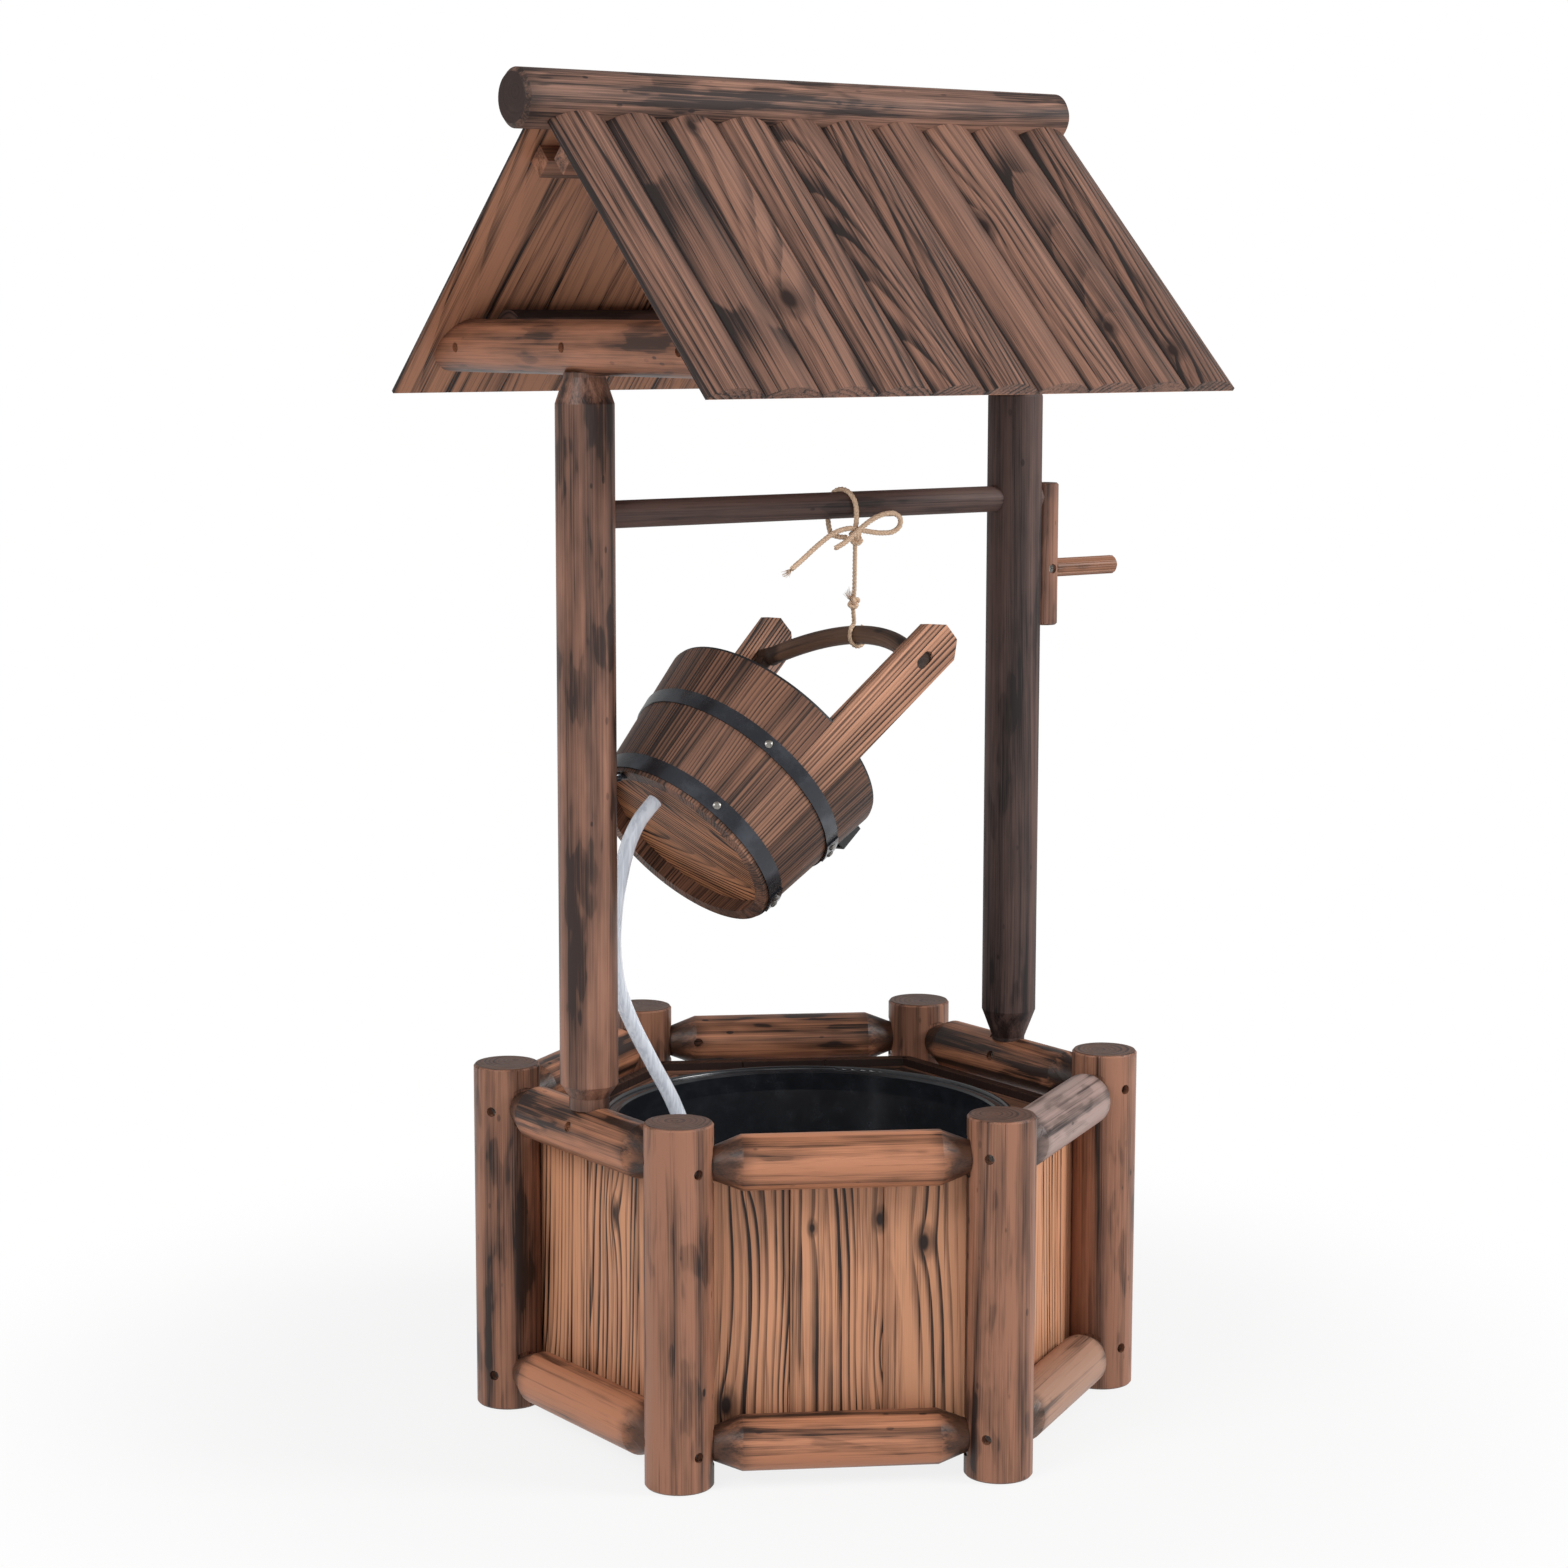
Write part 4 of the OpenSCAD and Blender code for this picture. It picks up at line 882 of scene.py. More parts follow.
@dataclass
class Base:
    """The hexagon of logs and boards round the basin, in millimetres."""

    radius: float = 259.0
    upper_z: float = 264.0
    lower_z: float = 33.0
    panel_half: float = 113.9
    panel_out: float = 201.6
    panel_low: float = 21.0
    panel_top: float = 250.0
    board_count: int = 3
    board_t: float = 10.0
    front_side: int = 4
    # Painted shade: the cleats and the ledge are darker for the shade between the basin's rim and
    # the rails.
    recess_shade: float = 0.4
    scorch: Span = (66.0, 92.0)
    rail_tone: Mapping[str, float] = field(default_factory=lambda: {
        "upper_1": 0.04, "upper_2": 0.2, "upper_3": 0.06, "upper_6": 0.8, "lower_3": 0.16,
        "lower_4": 0.08})
    # Painted sheen: the paler greyish colours of the two rails on side 5 stand in for the sheen of
    # the light on them.
    rail_sheen: Mapping[str, Rgba] = field(default_factory=lambda: {
        "upper_5": tint(164, 138, 130), "lower_5": tint(170, 130, 108)})
    # Painted light: each side's boards are made lighter or darker for how the lamps fall on that
    # side, side 5 lightened against the shade of its post and rails.
    panel_painted_light: Mapping[int, float] = field(default_factory=lambda: {3: -0.06, 4: 0.08, 5: -0.3})
    post_tone: Mapping[int, float] = field(default_factory=lambda: {4: 0.12, 5: 0.08, 6: -0.28})
    panel_marks: Marks = (
        (34.6, 208.0, 4.5), (70.8, 187.7, 6.0), (-20.1, 202.1, 3.0), (-90.0, 56.6, 6.5))

    def side(self) -> float:
        """Gives the distance from the centre to each side."""
        return self.radius * math.cos(math.radians(30))

    def dress_posts(self) -> None:
        """Gives each corner post its own log."""
        for i in range(1, 7):
            grain = Grain(origin=polar(self.radius, 60 * i - 30), turn=(0, 0, 47.0 * i),
                          seed=10 + i, ends=ends_of(f"corner_post_{i}", 2))
            finish = replace(LOG_WOOD, bias=LOG_WOOD.bias + self.post_tone.get(i, 0.0))
            dress([f"corner_post_{i}"], finish.make(grain))

    def dress_rails(self) -> None:
        """Gives each rail its own log with scorched points."""
        for i in range(1, 7):
            for level, z, seed in (("upper", self.upper_z, 20), ("lower", self.lower_z, 30)):
                grain = Grain(origin=polar(self.side(), 60 * i, z), turn=(-90, 0, 60 * i),
                              scorch=self.scorch, seed=seed + i)
                tone = self.rail_tone.get(f"{level}_{i}", 0.0)
                # The rails on side 5 take a paler colour as painted sheen.
                finish = replace(RAIL_WOOD, bias=RAIL_WOOD.bias + tone,
                                 light=self.rail_sheen.get(f"{level}_{i}", RAIL_WOOD.light))
                dress([f"{level}_rail_{i}"], finish.make(grain))

    def make_panels(self) -> None:
        """Makes each side's scorched boards, and finishes the hidden cleats and the ledge in
        darker wood as painted shade.
        """
        pitch = 2 * self.panel_half / self.board_count
        middle = self.panel_out - self.board_t / 2
        sizes = {"Count": self.board_count, "Pitch": pitch * MM, "Thick": self.board_t * MM,
                 "Out": middle * MM, "Low": self.panel_low * MM, "High": self.panel_top * MM}
        for i in range(1, 7):
            grain = Grain(Layout.BOARDS, origin=polar(middle, 60 * i), turn=(0, 0, 60 * i),
                          start=-self.panel_half, pitch=pitch, seed=50 + i,
                          ends=(self.panel_low, self.panel_top),
                          marks=self.panel_marks if i == self.front_side else ())
            # Painted light: the side's boards are made lighter or darker for the light on that
            # side.
            finish = replace(PANEL_WOOD, bias=PANEL_WOOD.bias + self.panel_painted_light.get(i, 0.0))
            panel = BoardTree(finish.make(grain)).stand(f"side_boards_{i}", 60 * i, sizes)
            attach(panel, "well")
            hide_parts(f"side_panel_{i}")
            LOG.info("made side_boards_%d of %d boards", i, self.board_count)
        # Painted shade: darker wood for the cleats and the ledge in the recess under the rails.
        shade = replace(LOG_WOOD, bias=LOG_WOOD.bias + self.recess_shade)
        dress(["panel_cleats", "basin_ledge"],
              shade.make(Grain(Layout.RING, pitch=60.0, seed=60)))

    def build(self) -> None:
        """Dresses the whole base."""
        self.dress_posts()
        self.dress_rails()
        self.make_panels()
        dress(["basin"], BASIN_GLOSS.make())
        dress(["base_screws", "frame_screws", "crank_pins", "hoop_rivets"], SCREW_STEEL.make())


@dataclass
class WellFrame:
    """The two tall posts and their tie beams, in millimetres."""

    side: float = 224.3
    beam_z: float = 903.5
    middle_z: float = 590.0
    scorch: Span = (280.0, 308.0)

    def build(self) -> None:
        """Dresses posts and beams."""
        for name, sign, finish, across in (("left", -1, POST_WOOD, BEAM_WOOD),
                                           ("right", 1, DARK_WOOD, DARK_WOOD)):
            x = sign * self.side * MM
            post = Grain(origin=(x, 0, self.middle_z * MM), seed=71 + sign, scorch=self.scorch)
            dress([f"well_post_{name}"], finish.make(post))
            beam = Grain(origin=(x, 0, self.beam_z * MM), turn=(-90, 0, 0), seed=75 + sign,
                         ends=ends_of(f"tie_beam_{name}", 1))
            dress([f"tie_beam_{name}"], across.make(beam))


@dataclass
class Roof:
    """The ridge log, battens, purlins and planks, in millimetres."""

    ridge_z: float = 1099.3
    pitch: float = 44.4
    length: float = 533.0
    planks: int = 10
    purlin_y: float = 152.0
    purlin_z: float = 911.0
    ridge_scorch: Span = (268.0, 292.0)
    marks: Marks = (
        (145.5, 229.7, 8.0), (-106.0, 136.2, 6.5), (-166.3, 257.9, 4.5), (-220.1, 285.0, 5.0),
        (140.3, 35.8, 4.5))

    def build(self) -> None:
        """Dresses the roof."""
        ridge = Grain(origin=(0, 0, self.ridge_z * MM), turn=(0, 90, 0), seed=80,
                      ends=ends_of("ridge_log", 0), scorch=self.ridge_scorch)
        dress(["ridge_log"], RIDGE_WOOD.make(ridge))
        dress(["roof_battens"], LOG_WOOD.make(replace(ridge, seed=81, ends=None, scorch=None)))
        # Painted shade: the purlins take the dark wood for the shade that they sit in under the
        # roof.
        purlin = Grain(origin=(0, self.purlin_y * MM, self.purlin_z * MM), turn=(0, 90, 0),
                       mirrored=True, seed=82, ends=ends_of("roof_purlins", 0))
        dress(["roof_purlins"], DARK_WOOD.make(purlin))
        for name, turn, seed in (("front", 180, 83), ("back", 0, 84)):
            grain = Grain(Layout.PLANKS, origin=(0, 0, self.ridge_z * MM),
                          turn=(-self.pitch, 0, turn), pitch=self.length / self.planks,
                          start=-self.length / 2, seed=seed,
                          marks=self.marks if name == "front" else ())
            dress([f"roof_{name}"], ROOF_WOOD.make(grain))


@dataclass
class Windlass:
    """The axle, the crank arm and the ribbed handle, in millimetres."""

    axle_z: float = 769.9
    arm_x: float = 260.4
    handle_z: float = 706.7

    def build(self) -> None:
        """Dresses the windlass."""
        dress(["windlass_axle"],
              DARK_WOOD.make(Grain(origin=(0, 0, self.axle_z * MM), turn=(0, 90, 0), seed=90)))
        dress(["crank_arm"], POST_WOOD.make(Grain(
            origin=(self.arm_x * MM, 0, 0), seed=91, ends=ends_of("crank_arm", 2))))
        dress(["crank_handle"], HANDLE_WOOD.make(Grain(
            origin=(0, 0, self.handle_z * MM), turn=(0, 90, 0), seed=92,
            ends=ends_of("crank_handle", 0))))


@dataclass
class Bucket:
    """The tipped bucket, in its own frame: Z from the bottom to the rim, X toward the spout."""

    at: Point = (-133.2, 0.0, 493.2)
    tilt: float = 39.5
    yaw: float = 4.9
    spin: float = 6.3
    arc_radius: float = 187.0
    top_z: float = 257.0
    stave_turn: float = 22.5
    lean: float = 0.1464
    floor_turn: float = -50.0
    floor_pitch: float = 54.0
    ear_scorch: Span = (165.0, 50.0)
    bail_scorch: Span = (86.0, 94.0)

    def matrix(self) -> Matrix:
        """Gives the turn from the bucket's own frame to the object's."""
        return (Matrix.Rotation(math.radians(self.yaw), 3, "Z")
                @ Matrix.Rotation(math.radians(90 - self.tilt), 3, "Y")
                @ Matrix.Rotation(math.radians(-self.spin), 3, "Z"))

    def world(self, point: Point) -> Vector:
        """Takes a point of the bucket's own frame to the object's frame, in millimetres."""
        return Vector(self.at) + self.matrix() @ Vector(point)

    def grain(self, layout: Layout, seed: float, origin: Point = (0, 0, 0),
              turn: Matrix | None = None, pitch: float = 0.0, start: float = 0.0) -> Grain:
        """Lays grain in the bucket's own frame.

        Args:
            layout: how the grain lies.
            seed: which piece of wood it is.
            origin: the grain's origin in the bucket's frame, in millimetres.
            turn: a further turn of the grain in the bucket's frame.
            pitch: the width, angle or radius that the layout asks for.
            start: where the first board starts.

        Returns:
            The grain in the object's frame.
        """
        matrix = self.matrix() @ (turn or Matrix.Identity(3))
        angles = tuple(math.degrees(a) for a in matrix.to_euler())
        spot = tuple(self.world(origin) * MM)
        return Grain(layout, origin=spot, turn=angles, pitch=pitch, start=start, seed=seed)

    def build(self) -> None:
        """Dresses the bucket."""
        staves = replace(self.grain(Layout.STAVES, 100, pitch=self.stave_turn), lean=self.lean)
        dress(["bucket_staves"], STAVE_WOOD.make(staves))
        dress(["ear_stave_front", "ear_stave_back"], EAR_WOOD.make(
            replace(staves, seed=106, scorch=self.ear_scorch)))
        lengthwise = (Matrix.Rotation(math.radians(self.floor_turn), 3, "Z")
                      @ Matrix.Rotation(math.radians(90), 3, "Y"))
        boards = self.grain(Layout.BOARDS, 101, turn=lengthwise, pitch=self.floor_pitch,
                            start=-1.5 * self.floor_pitch)
        dress(["bucket_bottom"], FLOOR_WOOD.make(boards))
        upright = Matrix.Rotation(math.radians(-90), 3, "Y")
        bail = self.grain(Layout.ARC, 102, (0, 0, self.top_z - self.arc_radius), upright,
                          self.arc_radius)
        dress(["bail"], BAIL_WOOD.make(replace(bail, scorch=self.bail_scorch)))
        dress(["bucket_liner"], LINER_GLOSS.make())
        dress(["hoop_upper", "hoop_lower", "bucket_spacer"], HOOP_PAINT.make())


@dataclass
class Pump:
    """The small pump on the basin's floor."""

    def build(self) -> None:
        """Dresses the pump."""
        dress(["pump_body", "pump_cover"], PUMP_MATTE.make())
        dress(["pump_impeller"], IMPELLER_MATTE.make())
        dress(["pump_feet"], FOOT_RUBBER.make())


class GeometryTree(Tree):
    """A geometry node group with named sizes, applied as a modifier and made a plain mesh."""

    def __init__(self, name: str, sizes: Mapping[str, float]) -> None:
        """Starts the group.

        Args:
            name: the group's name.
            sizes: its named inputs with their defaults; "Count" is a whole number.
        """
        super().__init__(bpy.data.node_groups.new(name, "GeometryNodeTree"))
        face = self.group.interface
        face.new_socket("Geometry", in_out="INPUT", socket_type="NodeSocketGeometry")
        self.sizes: dict[str, str] = {}
        for size, value in sizes.items():
            kind = "NodeSocketInt" if size == "Count" else "NodeSocketFloat"
            socket = face.new_socket(size, in_out="INPUT", socket_type=kind)
            socket.default_value = value
            self.sizes[size] = socket.identifier
        face.new_socket("Mesh", in_out="OUTPUT", socket_type="NodeSocketGeometry")
        self.ask = self.add("NodeGroupInput")

    def vector(self, operation: str, *values: Number) -> Field:
        """Adds a Vector Math node of that operation on the values."""
        keys = (0, 3) if operation == "SCALE" else (0, 1)
        return self.add("ShaderNodeVectorMath", {"operation": operation}, dict(zip(keys, values)))

    def between(self, low: float, high: float, seed: int) -> Field:
        """Gives each item its own number between two values, by a fixed seed."""
        return self.add("FunctionNodeRandomValue", {"data_type": "FLOAT"},
                        {2: low, 3: high, "Seed": seed})[1]

    def ring(self, radius: Field, sides: int) -> Field:
        """Gives a ring of straight sides, as the outline of a thin round tube."""
        return self.add("GeometryNodeCurvePrimitiveCircle", {"mode": "RADIUS"},
                        {"Resolution": sides, "Radius": radius})

    def sweep(self, curve: Field, outline: Field) -> Field:
        """Sweeps an outline along a curve, with closed ends."""
        return self.add("GeometryNodeCurveToMesh", None, {
            "Curve": curve, "Profile Curve": outline, "Fill Caps": True})

    def end(self, shape: Field, material: bpy.types.Material, smooth: bool = True) -> None:
        """Ends the group: real geometry, shaded, in its material.

        Args:
            shape: the geometry that the group has made.
            material: what it is made of.
            smooth: whether its faces are shaded smooth.
        """
        real = self.add("GeometryNodeRealizeInstances", None, {0: shape})
        shaded = self.add("GeometryNodeSetShadeSmooth", None, {0: real, "Shade Smooth": smooth})
        dressed = self.add("GeometryNodeSetMaterial", None, {0: shaded, "Material": material})
        self.add("NodeGroupOutput", None, {0: dressed})

    def apply(self, name: str, data: bpy.types.ID, sizes: Mapping[str, float]) -> bpy.types.Mesh:
        """Runs the group on a curve or a mesh.

        Args:
            name: the name of the mesh to make.
            data: the curve or mesh that goes in.
            sizes: the named sizes that differ from their defaults.

        Returns:
            The plain mesh that comes out.
        """
        carrier = bpy.data.objects.new(name + "_carrier", data)
        bpy.context.scene.collection.objects.link(carrier)
        layer = carrier.modifiers.new("nodes", "NODES")
        layer.node_group = self.group
        for size, value in sizes.items():
            layer[self.sizes[size]] = value
        view = bpy.context.evaluated_depsgraph_get()
        mesh = bpy.data.meshes.new_from_object(carrier.evaluated_get(view), depsgraph=view)
        carrier.modifiers.clear()
        bpy.data.objects.remove(carrier)
        mesh.name = name
        return mesh


class BoardTree(GeometryTree):
    """Geometry nodes that stand a row of chamfered boards side by side."""

    GAP = 0.0003

    def __init__(self, material: bpy.types.Material) -> None:
        """Builds the node group; its boards run up Z, side by side along Y, facing X.

        Args:
            material: what the boards are made of.
        """
        super().__init__("standing_boards", {
            "Count": 3, "Pitch": 0.075, "Thick": 0.01, "Chamfer": 0.0007, "Out": 0.197,
            "Low": 0.021, "High": 0.263})
        ask = self.ask
        outline = self.add("GeometryNodeCurvePrimitiveQuadrilateral", None, {
            "Width": ask["Thick"], "Height": ask["Pitch"] - self.GAP})
        eased = self.add("GeometryNodeFilletCurve", None, {
            "Curve": outline, "Radius": ask["Chamfer"]})
        rise = self.add("GeometryNodeCurvePrimitiveLine", None, {
            "Start": self.join(0.0, 0.0, ask["Low"]), "End": self.join(0.0, 0.0, ask["High"])})
        upright = self.add("GeometryNodeSetCurveNormal", {"mode": "Z_UP"}, {"Curve": rise})
        last = (ask["Count"] - 1.0) * ask["Pitch"]
        row = self.add("GeometryNodeMeshLine", None, {
            "Count": ask["Count"], "Start Location": self.join(ask["Out"], last * -0.5, 0.0),
            "Offset": self.join(0.0, ask["Pitch"], 0.0)})
        spread = self.add("GeometryNodeInstanceOnPoints", None, {
            "Points": row, "Instance": self.sweep(upright, eased)})
        self.end(spread, material, False)

    def stand(self, name: str, turn: float, sizes: Mapping[str, float]) -> bpy.types.Object:
        """Stands one row of boards.

        Args:
            name: the piece's name.
            turn: the direction that they face, in degrees from X.
            sizes: the tree's named sizes.

        Returns:
            The new mesh object at the origin.
        """
        mesh = self.apply(name, bpy.data.meshes.new(name + "_seed"), sizes)
        mesh.transform(Matrix.Rotation(math.radians(turn), 4, "Z"))
        return linked(name, mesh)


class StrandTree(GeometryTree):
    """Geometry nodes that lay three twisted strands along a curve."""

    STRANDS = 3

    def __init__(self, material: bpy.types.Material) -> None:
        """Builds the node group.

        Args:
            material: what the strands are made of.
        """
        super().__init__("laid_strands", {"Offset": 0.00088, "Strand": 0.00112, "Lay": 0.011,
                                          "Step": 0.0007})
        ask = self.ask
        fine = self.add("GeometryNodeResampleCurve", {"mode": "LENGTH"}, {
            "Curve": ask["Geometry"], "Length": ask["Step"]})
        normal = self.add("GeometryNodeInputNormal")
        side = self.vector("CROSS_PRODUCT", self.add("GeometryNodeInputTangent"), normal)
        turns = self.add("GeometryNodeSplineParameter")["Length"] / ask["Lay"]
        ring = self.ring(ask["Strand"], 7)
        tubes: list[Field] = []
        for k in range(self.STRANDS):
            angle = (turns + k / self.STRANDS) * math.tau
            over = self.vector("SCALE", normal, self.maths("COSINE", angle) * ask["Offset"])
            beside = self.vector("SCALE", side, self.maths("SINE", angle) * ask["Offset"])
            moved = self.add("GeometryNodeSetPosition", None, {
                "Geometry": fine, "Offset": self.vector("ADD", over, beside)})
            tubes.append(self.sweep(moved, ring))
        self.end(self.add("GeometryNodeJoinGeometry", None, {0: tubes}), material)

    def lay(self, name: str, path: Sequence[Vector], sizes: Mapping[str, float],
            closed: bool = False) -> bpy.types.Object:
        """Lays strands along a path.

        Args:
            name: the piece's name.
            path: its centreline in metres.
            sizes: the tree's named sizes that differ from its defaults.
            closed: whether the path runs back into its start.

        Returns:
            The new mesh object at the origin.
        """
        curve = bpy.data.curves.new(name + "_line", "CURVE")
        curve.dimensions = "3D"
        curve.twist_mode = "MINIMUM"
        spline = curve.splines.new("POLY")
        spline.points.add(len(path) - 1)
        spline.use_cyclic_u = closed
        for point, place in zip(spline.points, path):
            point.co = (*place, 1.0)
        return linked(name, self.apply(name, curve, sizes))


class TuftTree(GeometryTree):
    """Geometry nodes that make a frayed end: bent fibres that fan out from one point along Z."""

    def __init__(self, material: bpy.types.Material) -> None:
        """Builds the node group.

        Args:
            material: what the fibres are made of.
        """
        super().__init__("frayed_tuft", {"Count": 46, "Reach": 0.012, "Spread": 0.42,
                                         "Fibre": 0.00016})
        ask = self.ask
        spots = self.add("GeometryNodePoints", None, {"Count": ask["Count"]})
        fibre = self.add("GeometryNodeCurveQuadraticBezier", None, {
            "Resolution": 5, "Start": (0, 0, 0), "End": self.join(0.0, 0.0, ask["Reach"]),
            "Middle": self.join(ask["Reach"] * 0.22, 0.0, ask["Reach"] * 0.5)})
        lean = self.between(0.0, 1.0, 3)
        turn = self.between(0.0, math.tau, 5)
        size = self.between(0.45, 1.0, 8)
        fan = self.add("GeometryNodeInstanceOnPoints", None, {
            "Points": spots, "Instance": self.sweep(fibre, self.ring(ask["Fibre"], 3)),
            "Rotation": self.join(lean ** 0.7 * ask["Spread"], 0.0, turn),
            "Scale": self.join(size, size, size)})
        self.end(fan, material)

    def place(self, name: str, at: Vector, toward: Vector,
              sizes: Mapping[str, float]) -> bpy.types.Object:
        """Makes a tuft at a point.

        Args:
            name: the piece's name.
            at: its root in metres.
            toward: the direction its fibres point.
            sizes: the tree's named sizes that differ from its defaults.

        Returns:
            The new mesh object at the origin.
        """
        mesh = self.apply(name, bpy.data.meshes.new(name + "_seed"), sizes)
        turn = toward.to_track_quat("Z", "Y").to_matrix().to_4x4()
        mesh.transform(Matrix.Translation(at) @ turn)
        return linked(name, mesh)


@dataclass
class SoftLines:
    """The clear hose and the twine, with their routes in millimetres."""

    bucket: Bucket
    hose_d: float = 13.0
    hose_bore: float = 9.0
    rope_d: float = 3.5
    axle_r: float = 11.3
    axle_z: float = 769.9
    bail_r: float = 8.0
    outlet_x: float = -80.0
    outlet_z: float = 70.1
    hose_steps: int = 12
    rope_steps: int = 10
    hose_sides: int = 28
    knot_steps: int = 72
    slack: float = 0.3

    def hose_route(self) -> list[Point]:
        """Gives the hose's chosen points from the bucket to the pump.

        Returns:
            The points in millimetres.
        """
        world = self.bucket.world
        fall = ((-29.4, 16.9, 21.5), (-37.4, 17.6, 7.7), (-42.6, 18.8, -7.4), (-45.7, 20.4, -23.1),
                (-49.1, 23.2, -49.2), (-47.8, 28.4, -83.2), (-39.8, 33.4, -118.6),
                (-25.2, 37, -151), (-3.8, 39.6, -187.5))
        return [tuple(world((-38, 14, 23))), tuple(world((-38, 14, 8))),
                *(tuple(Vector(self.bucket.at) + Vector(p)) for p in fall),
                (self.outlet_x - 32, 40, 262), (self.outlet_x - 13, 40, 212),
                (self.outlet_x - 3, 40, 158), (self.outlet_x, 40, 108),
                (self.outlet_x, 40, self.outlet_z + 0.1)]

    def sling_route(self) -> list[Point]:
        """Gives the twine's turn over the windlass axle.

        Returns:
            The points in millimetres.
        """
        reach = self.axle_r + self.slack + self.rope_d / 2
        turn = [(27 + 1.1 * k, reach * math.sin(math.radians(120 - 20.4 * k)),
                 self.axle_z + reach * math.cos(math.radians(120 - 20.4 * k))) for k in range(12)]
        return [(33.5, -7, 743), (29, -1, 743.5), (26, 6, 747), *turn,
                (40, -12, 757), (40, -10.3, 749), (40, -10, 742)]

    def bow_route(self) -> list[Point]:
        """Gives the loose tail and the bow at the knot, from the knot outward.

        Returns:
            The points in millimetres.
        """
        points = [(-27, -11, 719), (-16, -12, 727), (-1, -12.8, 738), (15, -13.6, 747.5),
                  (31, -14.2, 751), (46, -14.2, 748.5), (60, -14.2, 746.3), (69.5, -13.8, 745.8),
                  (77.5, -14, 746.4), (83.9, -14.8, 750.6), (84, -16, 757.4), (77.5, -17.2, 761.8),
                  (69.5, -18.2, 762.6), (58, -19.2, 760.6), (46, -19.8, 755.5), (34, -19.3, 747.5),
                  (24, -18, 740), (14, -17, 735)]
        return points[::-1]

    def drop_route(self) -> list[Point]:
        """Gives the twine from the knot down and round the bail.

        Returns:
            The points in millimetres.
        """
        reach = self.bail_r + self.slack + self.rope_d / 2
        wrap: list[Point] = []
        for k in range(13):
            r = reach + max(2.2 - 1.2 * k, 0.0)
            a = math.radians(-80 - 24 * k)
            wrap.append(tuple(self.bucket.world(
                (r * math.sin(a), 0.56 * k - 3, self.bucket.top_z + r * math.cos(a)))))
        return [(40, -10, 741.9), (41.3, -8.6, 733), (45, -3.5, 715), (49.3, 2.6, 697),
                (53.4, 9.4, 681), *wrap]

    def make_hose(self) -> None:
        """Makes the clear hose as a real tube with a bore."""
        path = catmull(self.hose_route(), self.hose_steps)
        hose = pipe("clear_hose", path, self.hose_d / 2 * MM, self.hose_bore / 2 * MM,
                    self.hose_sides, HoseFinish().make())
        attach(hose, "well")
        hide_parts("hose")
        path_length(path)
        LOG.info("made clear_hose, %.0f mm long", path_length(path) / MM)

    def knot(self, at: Point, size: float, turn: Point) -> list[Vector]:
        """Gives the closed path of a small overhand knot.

        Args:
            at: its middle in millimetres.
            size: its reach from the middle in millimetres.
            turn: its Euler turn in degrees.

        Returns:
            The path in metres.
        """
        spin = Euler([math.radians(a) for a in turn]).to_matrix()
        out: list[Vector] = []
        for k in range(self.knot_steps):
            t = math.tau * k / self.knot_steps
            shape = Vector((math.sin(t) + 2 * math.sin(2 * t), math.cos(t) - 2 * math.cos(2 * t),
                            -1.5 * math.sin(3 * t)))
            out.append((Vector(at) + spin @ shape * (size / 3)) * MM)
        return out

    def make_twine(self) -> None:
        """Makes the three stretches of twine from laid strands, with their knots and fraying."""
        fibre = TwineFinish().make()
        strands, tufts = StrandTree(fibre), TuftTree(fibre)
        bail_top = Vector((52.6, 7.6, 686.0))
        full = {"Offset": 0.00104, "Strand": 0.0013, "Lay": 0.010}
        knot = strands.lay("twine_knot", self.knot((39, -13, 743), 5.2, (70, 10, 20)), full, True)
        tail = tufts.place("twine_tail", Vector((-26.5, -11, 719.5)) * MM,
                           Vector((-0.8, 0.05, -0.6)), {"Reach": 0.011, "Spread": 0.45})
        bail_knot = strands.lay("bail_knot", self.knot(tuple(bail_top), 4.6, (80, 30, 10)),
                                {"Lay": 0.009}, True)
        fray = tufts.place("bail_fray", bail_top * MM, Vector((-0.62, -0.3, 0.72)),
                           {"Reach": 0.015, "Count": 60})
        for name, node, route, end, lay, sizes, extras in (
                ("twine_sling", "rope_sling", self.sling_route(), "knot", "taut", full, [knot]),
                ("twine_bow", "rope_bow", self.bow_route(), "bare", "hanging", full, [tail]),
                ("twine_drop", "rope_drop", self.drop_route(), "object", "taut", {},
                 [bail_knot, fray])):
            path = catmull(route, self.rope_steps)
            twine = strands.lay(name, path, sizes)
            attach(twine, "well")
            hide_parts(node)
            for extra in extras:
                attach(extra, "well")
            path_length(path)
            LOG.info("made %s, %.0f mm long", name, path_length(path) / MM)

    def build(self) -> None:
        """Makes the hose and the twine."""
        self.make_hose()
        self.make_twine()


@dataclass(frozen=True)
class Lamp:
    """A soft box: its place in metres, its power in watts and its width in metres."""

    name: str
    place: Point
    power: float
    width: float

    def hang(self, target: Point) -> None:
        """Hangs the lamp.

        Args:
            target: the point that it faces, in metres.
        """
        light = bpy.data.lights.new(self.name, "AREA")
        light.energy = self.power
        light.size = self.width
        body = linked(self.name, light)
        body.location = self.place
        aim = Vector(target) - Vector(self.place)
        body.rotation_euler = aim.to_track_quat("-Z", "Y").to_euler()


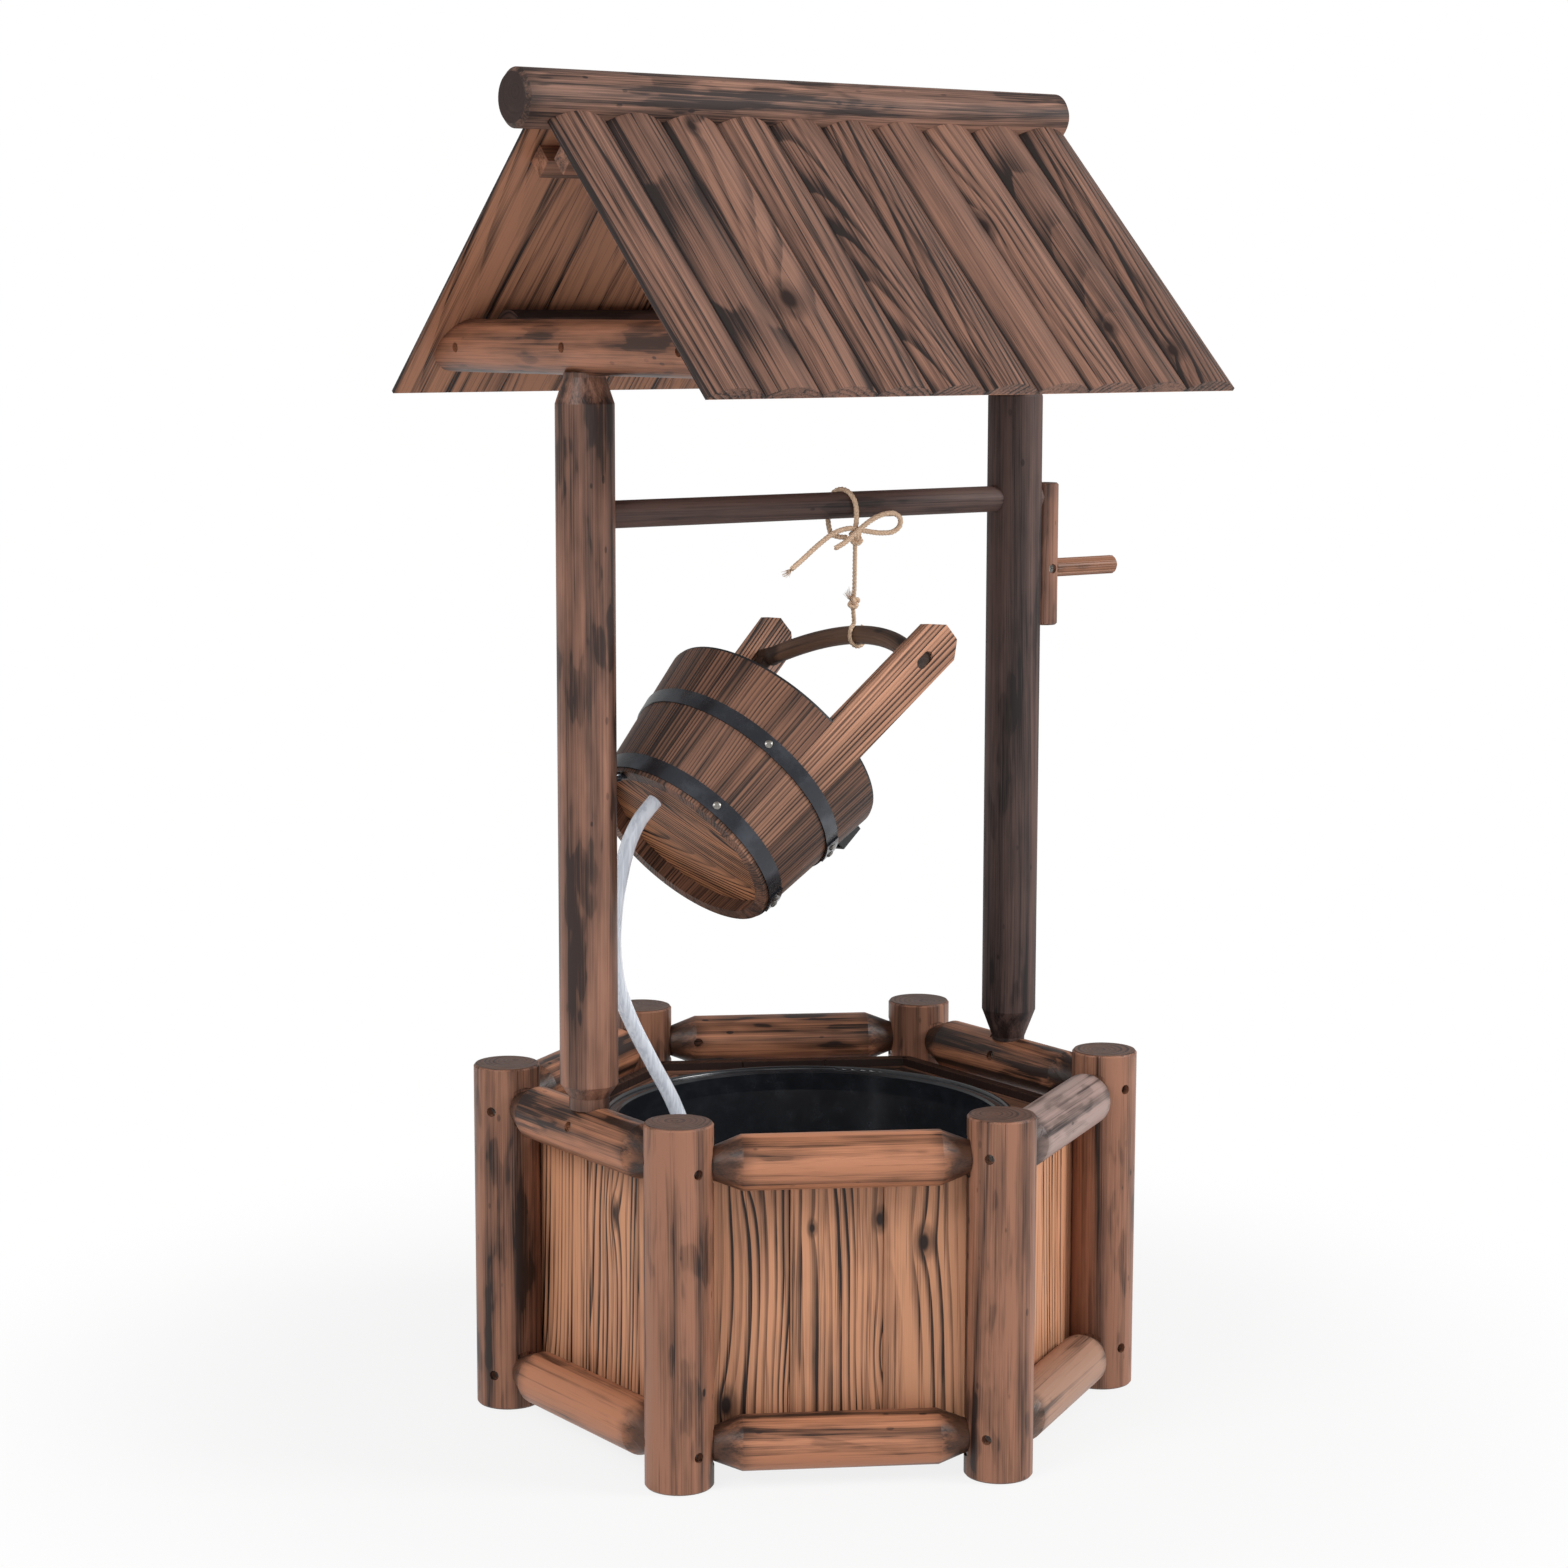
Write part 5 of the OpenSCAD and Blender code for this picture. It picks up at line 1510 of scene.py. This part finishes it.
@dataclass
class Studio:
    """Camera, floor and lights, in metres and degrees."""

    camera_at: Point = (-1.6711, -2.2430, 0.9322)
    yaw: float = 36.234
    dip: float = -8.1
    roll: float = -0.1
    lens: float = 76.25
    floor_reach: float = 6.0
    floor_z: float = -0.0005
    fade: Span = (0.4, 0.9)
    sky: float = 0.45
    target: Point = (0, 0, 0.55)
    lamps: tuple[Lamp, ...] = (Lamp("key", (2.3, -2.6, 2.3), 92.0, 1.2),
                               Lamp("side", (-3.1, -0.9, 2.5), 60.0, 1.5),
                               Lamp("fill", (-1.4, -3.4, 0.9), 14.0, 1.8))

    def make_camera(self) -> None:
        """Puts the camera where the photograph was taken from."""
        camera = bpy.data.cameras.new("photo_camera")
        camera.lens = self.lens
        camera.sensor_width = 36.0
        camera.clip_end = 50.0
        body = linked("photo_camera", camera)
        body.location = self.camera_at
        body.rotation_euler = Euler((math.radians(90 + self.dip), math.radians(self.roll),
                                     math.radians(-self.yaw)))
        bpy.context.scene.camera = body

    def make_floor(self) -> None:
        """Lays the plain pale floor, which runs out into white before the camera's horizon."""
        s = Shader("studio_floor")
        x, y, _ = s.split(s.place())
        away = s.maths("SQRT", x * x + y * y)
        rays = s.add("ShaderNodeLightPath")
        seen = s.maths("MAXIMUM", rays["Is Camera Ray"],
                       s.maths("MAXIMUM", rays["Is Glossy Ray"], rays["Is Transmission Ray"]))
        matte = s.add("ShaderNodeBsdfDiffuse", None, {"Color": (0.7, 0.7, 0.7, 1)})
        white = s.add("ShaderNodeEmission", None, {"Color": (1, 1, 1, 1), "Strength": 1.0})
        mix = s.add("ShaderNodeMixShader", None, {
            0: seen * (away.step(*self.fade) * 0.16 + 0.84), 1: matte, 2: white})
        s.add("ShaderNodeOutputMaterial", None, {"Surface": mix})
        corners = [Vector((x * self.floor_reach, y * self.floor_reach, self.floor_z))
                   for x, y in ((-1, -1), (1, -1), (1, 1), (-1, 1))]
        mesh_object("studio_floor", corners, [(0, 1, 2, 3)], s.material, False)

    def make_world(self) -> None:
        """Lights the object evenly and shows white behind it."""
        world = bpy.data.worlds.new("studio")
        world.use_nodes = True
        tree = Tree(world.node_tree)
        rays = tree.add("ShaderNodeLightPath")
        seen = tree.maths("MAXIMUM", rays["Is Camera Ray"], rays["Is Transmission Ray"])
        sky = tree.add("ShaderNodeBackground", None, {
            "Color": (1, 1, 1, 1), "Strength": seen * (1.0 - self.sky) + self.sky})
        tree.add("ShaderNodeOutputWorld", None, {"Surface": sky})
        bpy.context.scene.world = world

    def build(self) -> None:
        """Sets up the studio."""
        bpy.context.scene.view_settings.view_transform = "Standard"
        self.make_camera()
        self.make_floor()
        self.make_world()
        for lamp in self.lamps:
            lamp.hang(self.target)


def main() -> None:
    """Builds the studio and every sub-assembly in order."""
    logging.basicConfig(level=logging.INFO, format="%(name)s: %(message)s")
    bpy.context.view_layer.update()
    Studio().build()
    bucket = Bucket()
    SoftLines(bucket).build()
    for part in (Base(), WellFrame(), Roof(), Windlass(), bucket, Pump()):
        part.build()
        LOG.info("built %s", type(part).__name__)


if __name__ == "__main__":
    main()
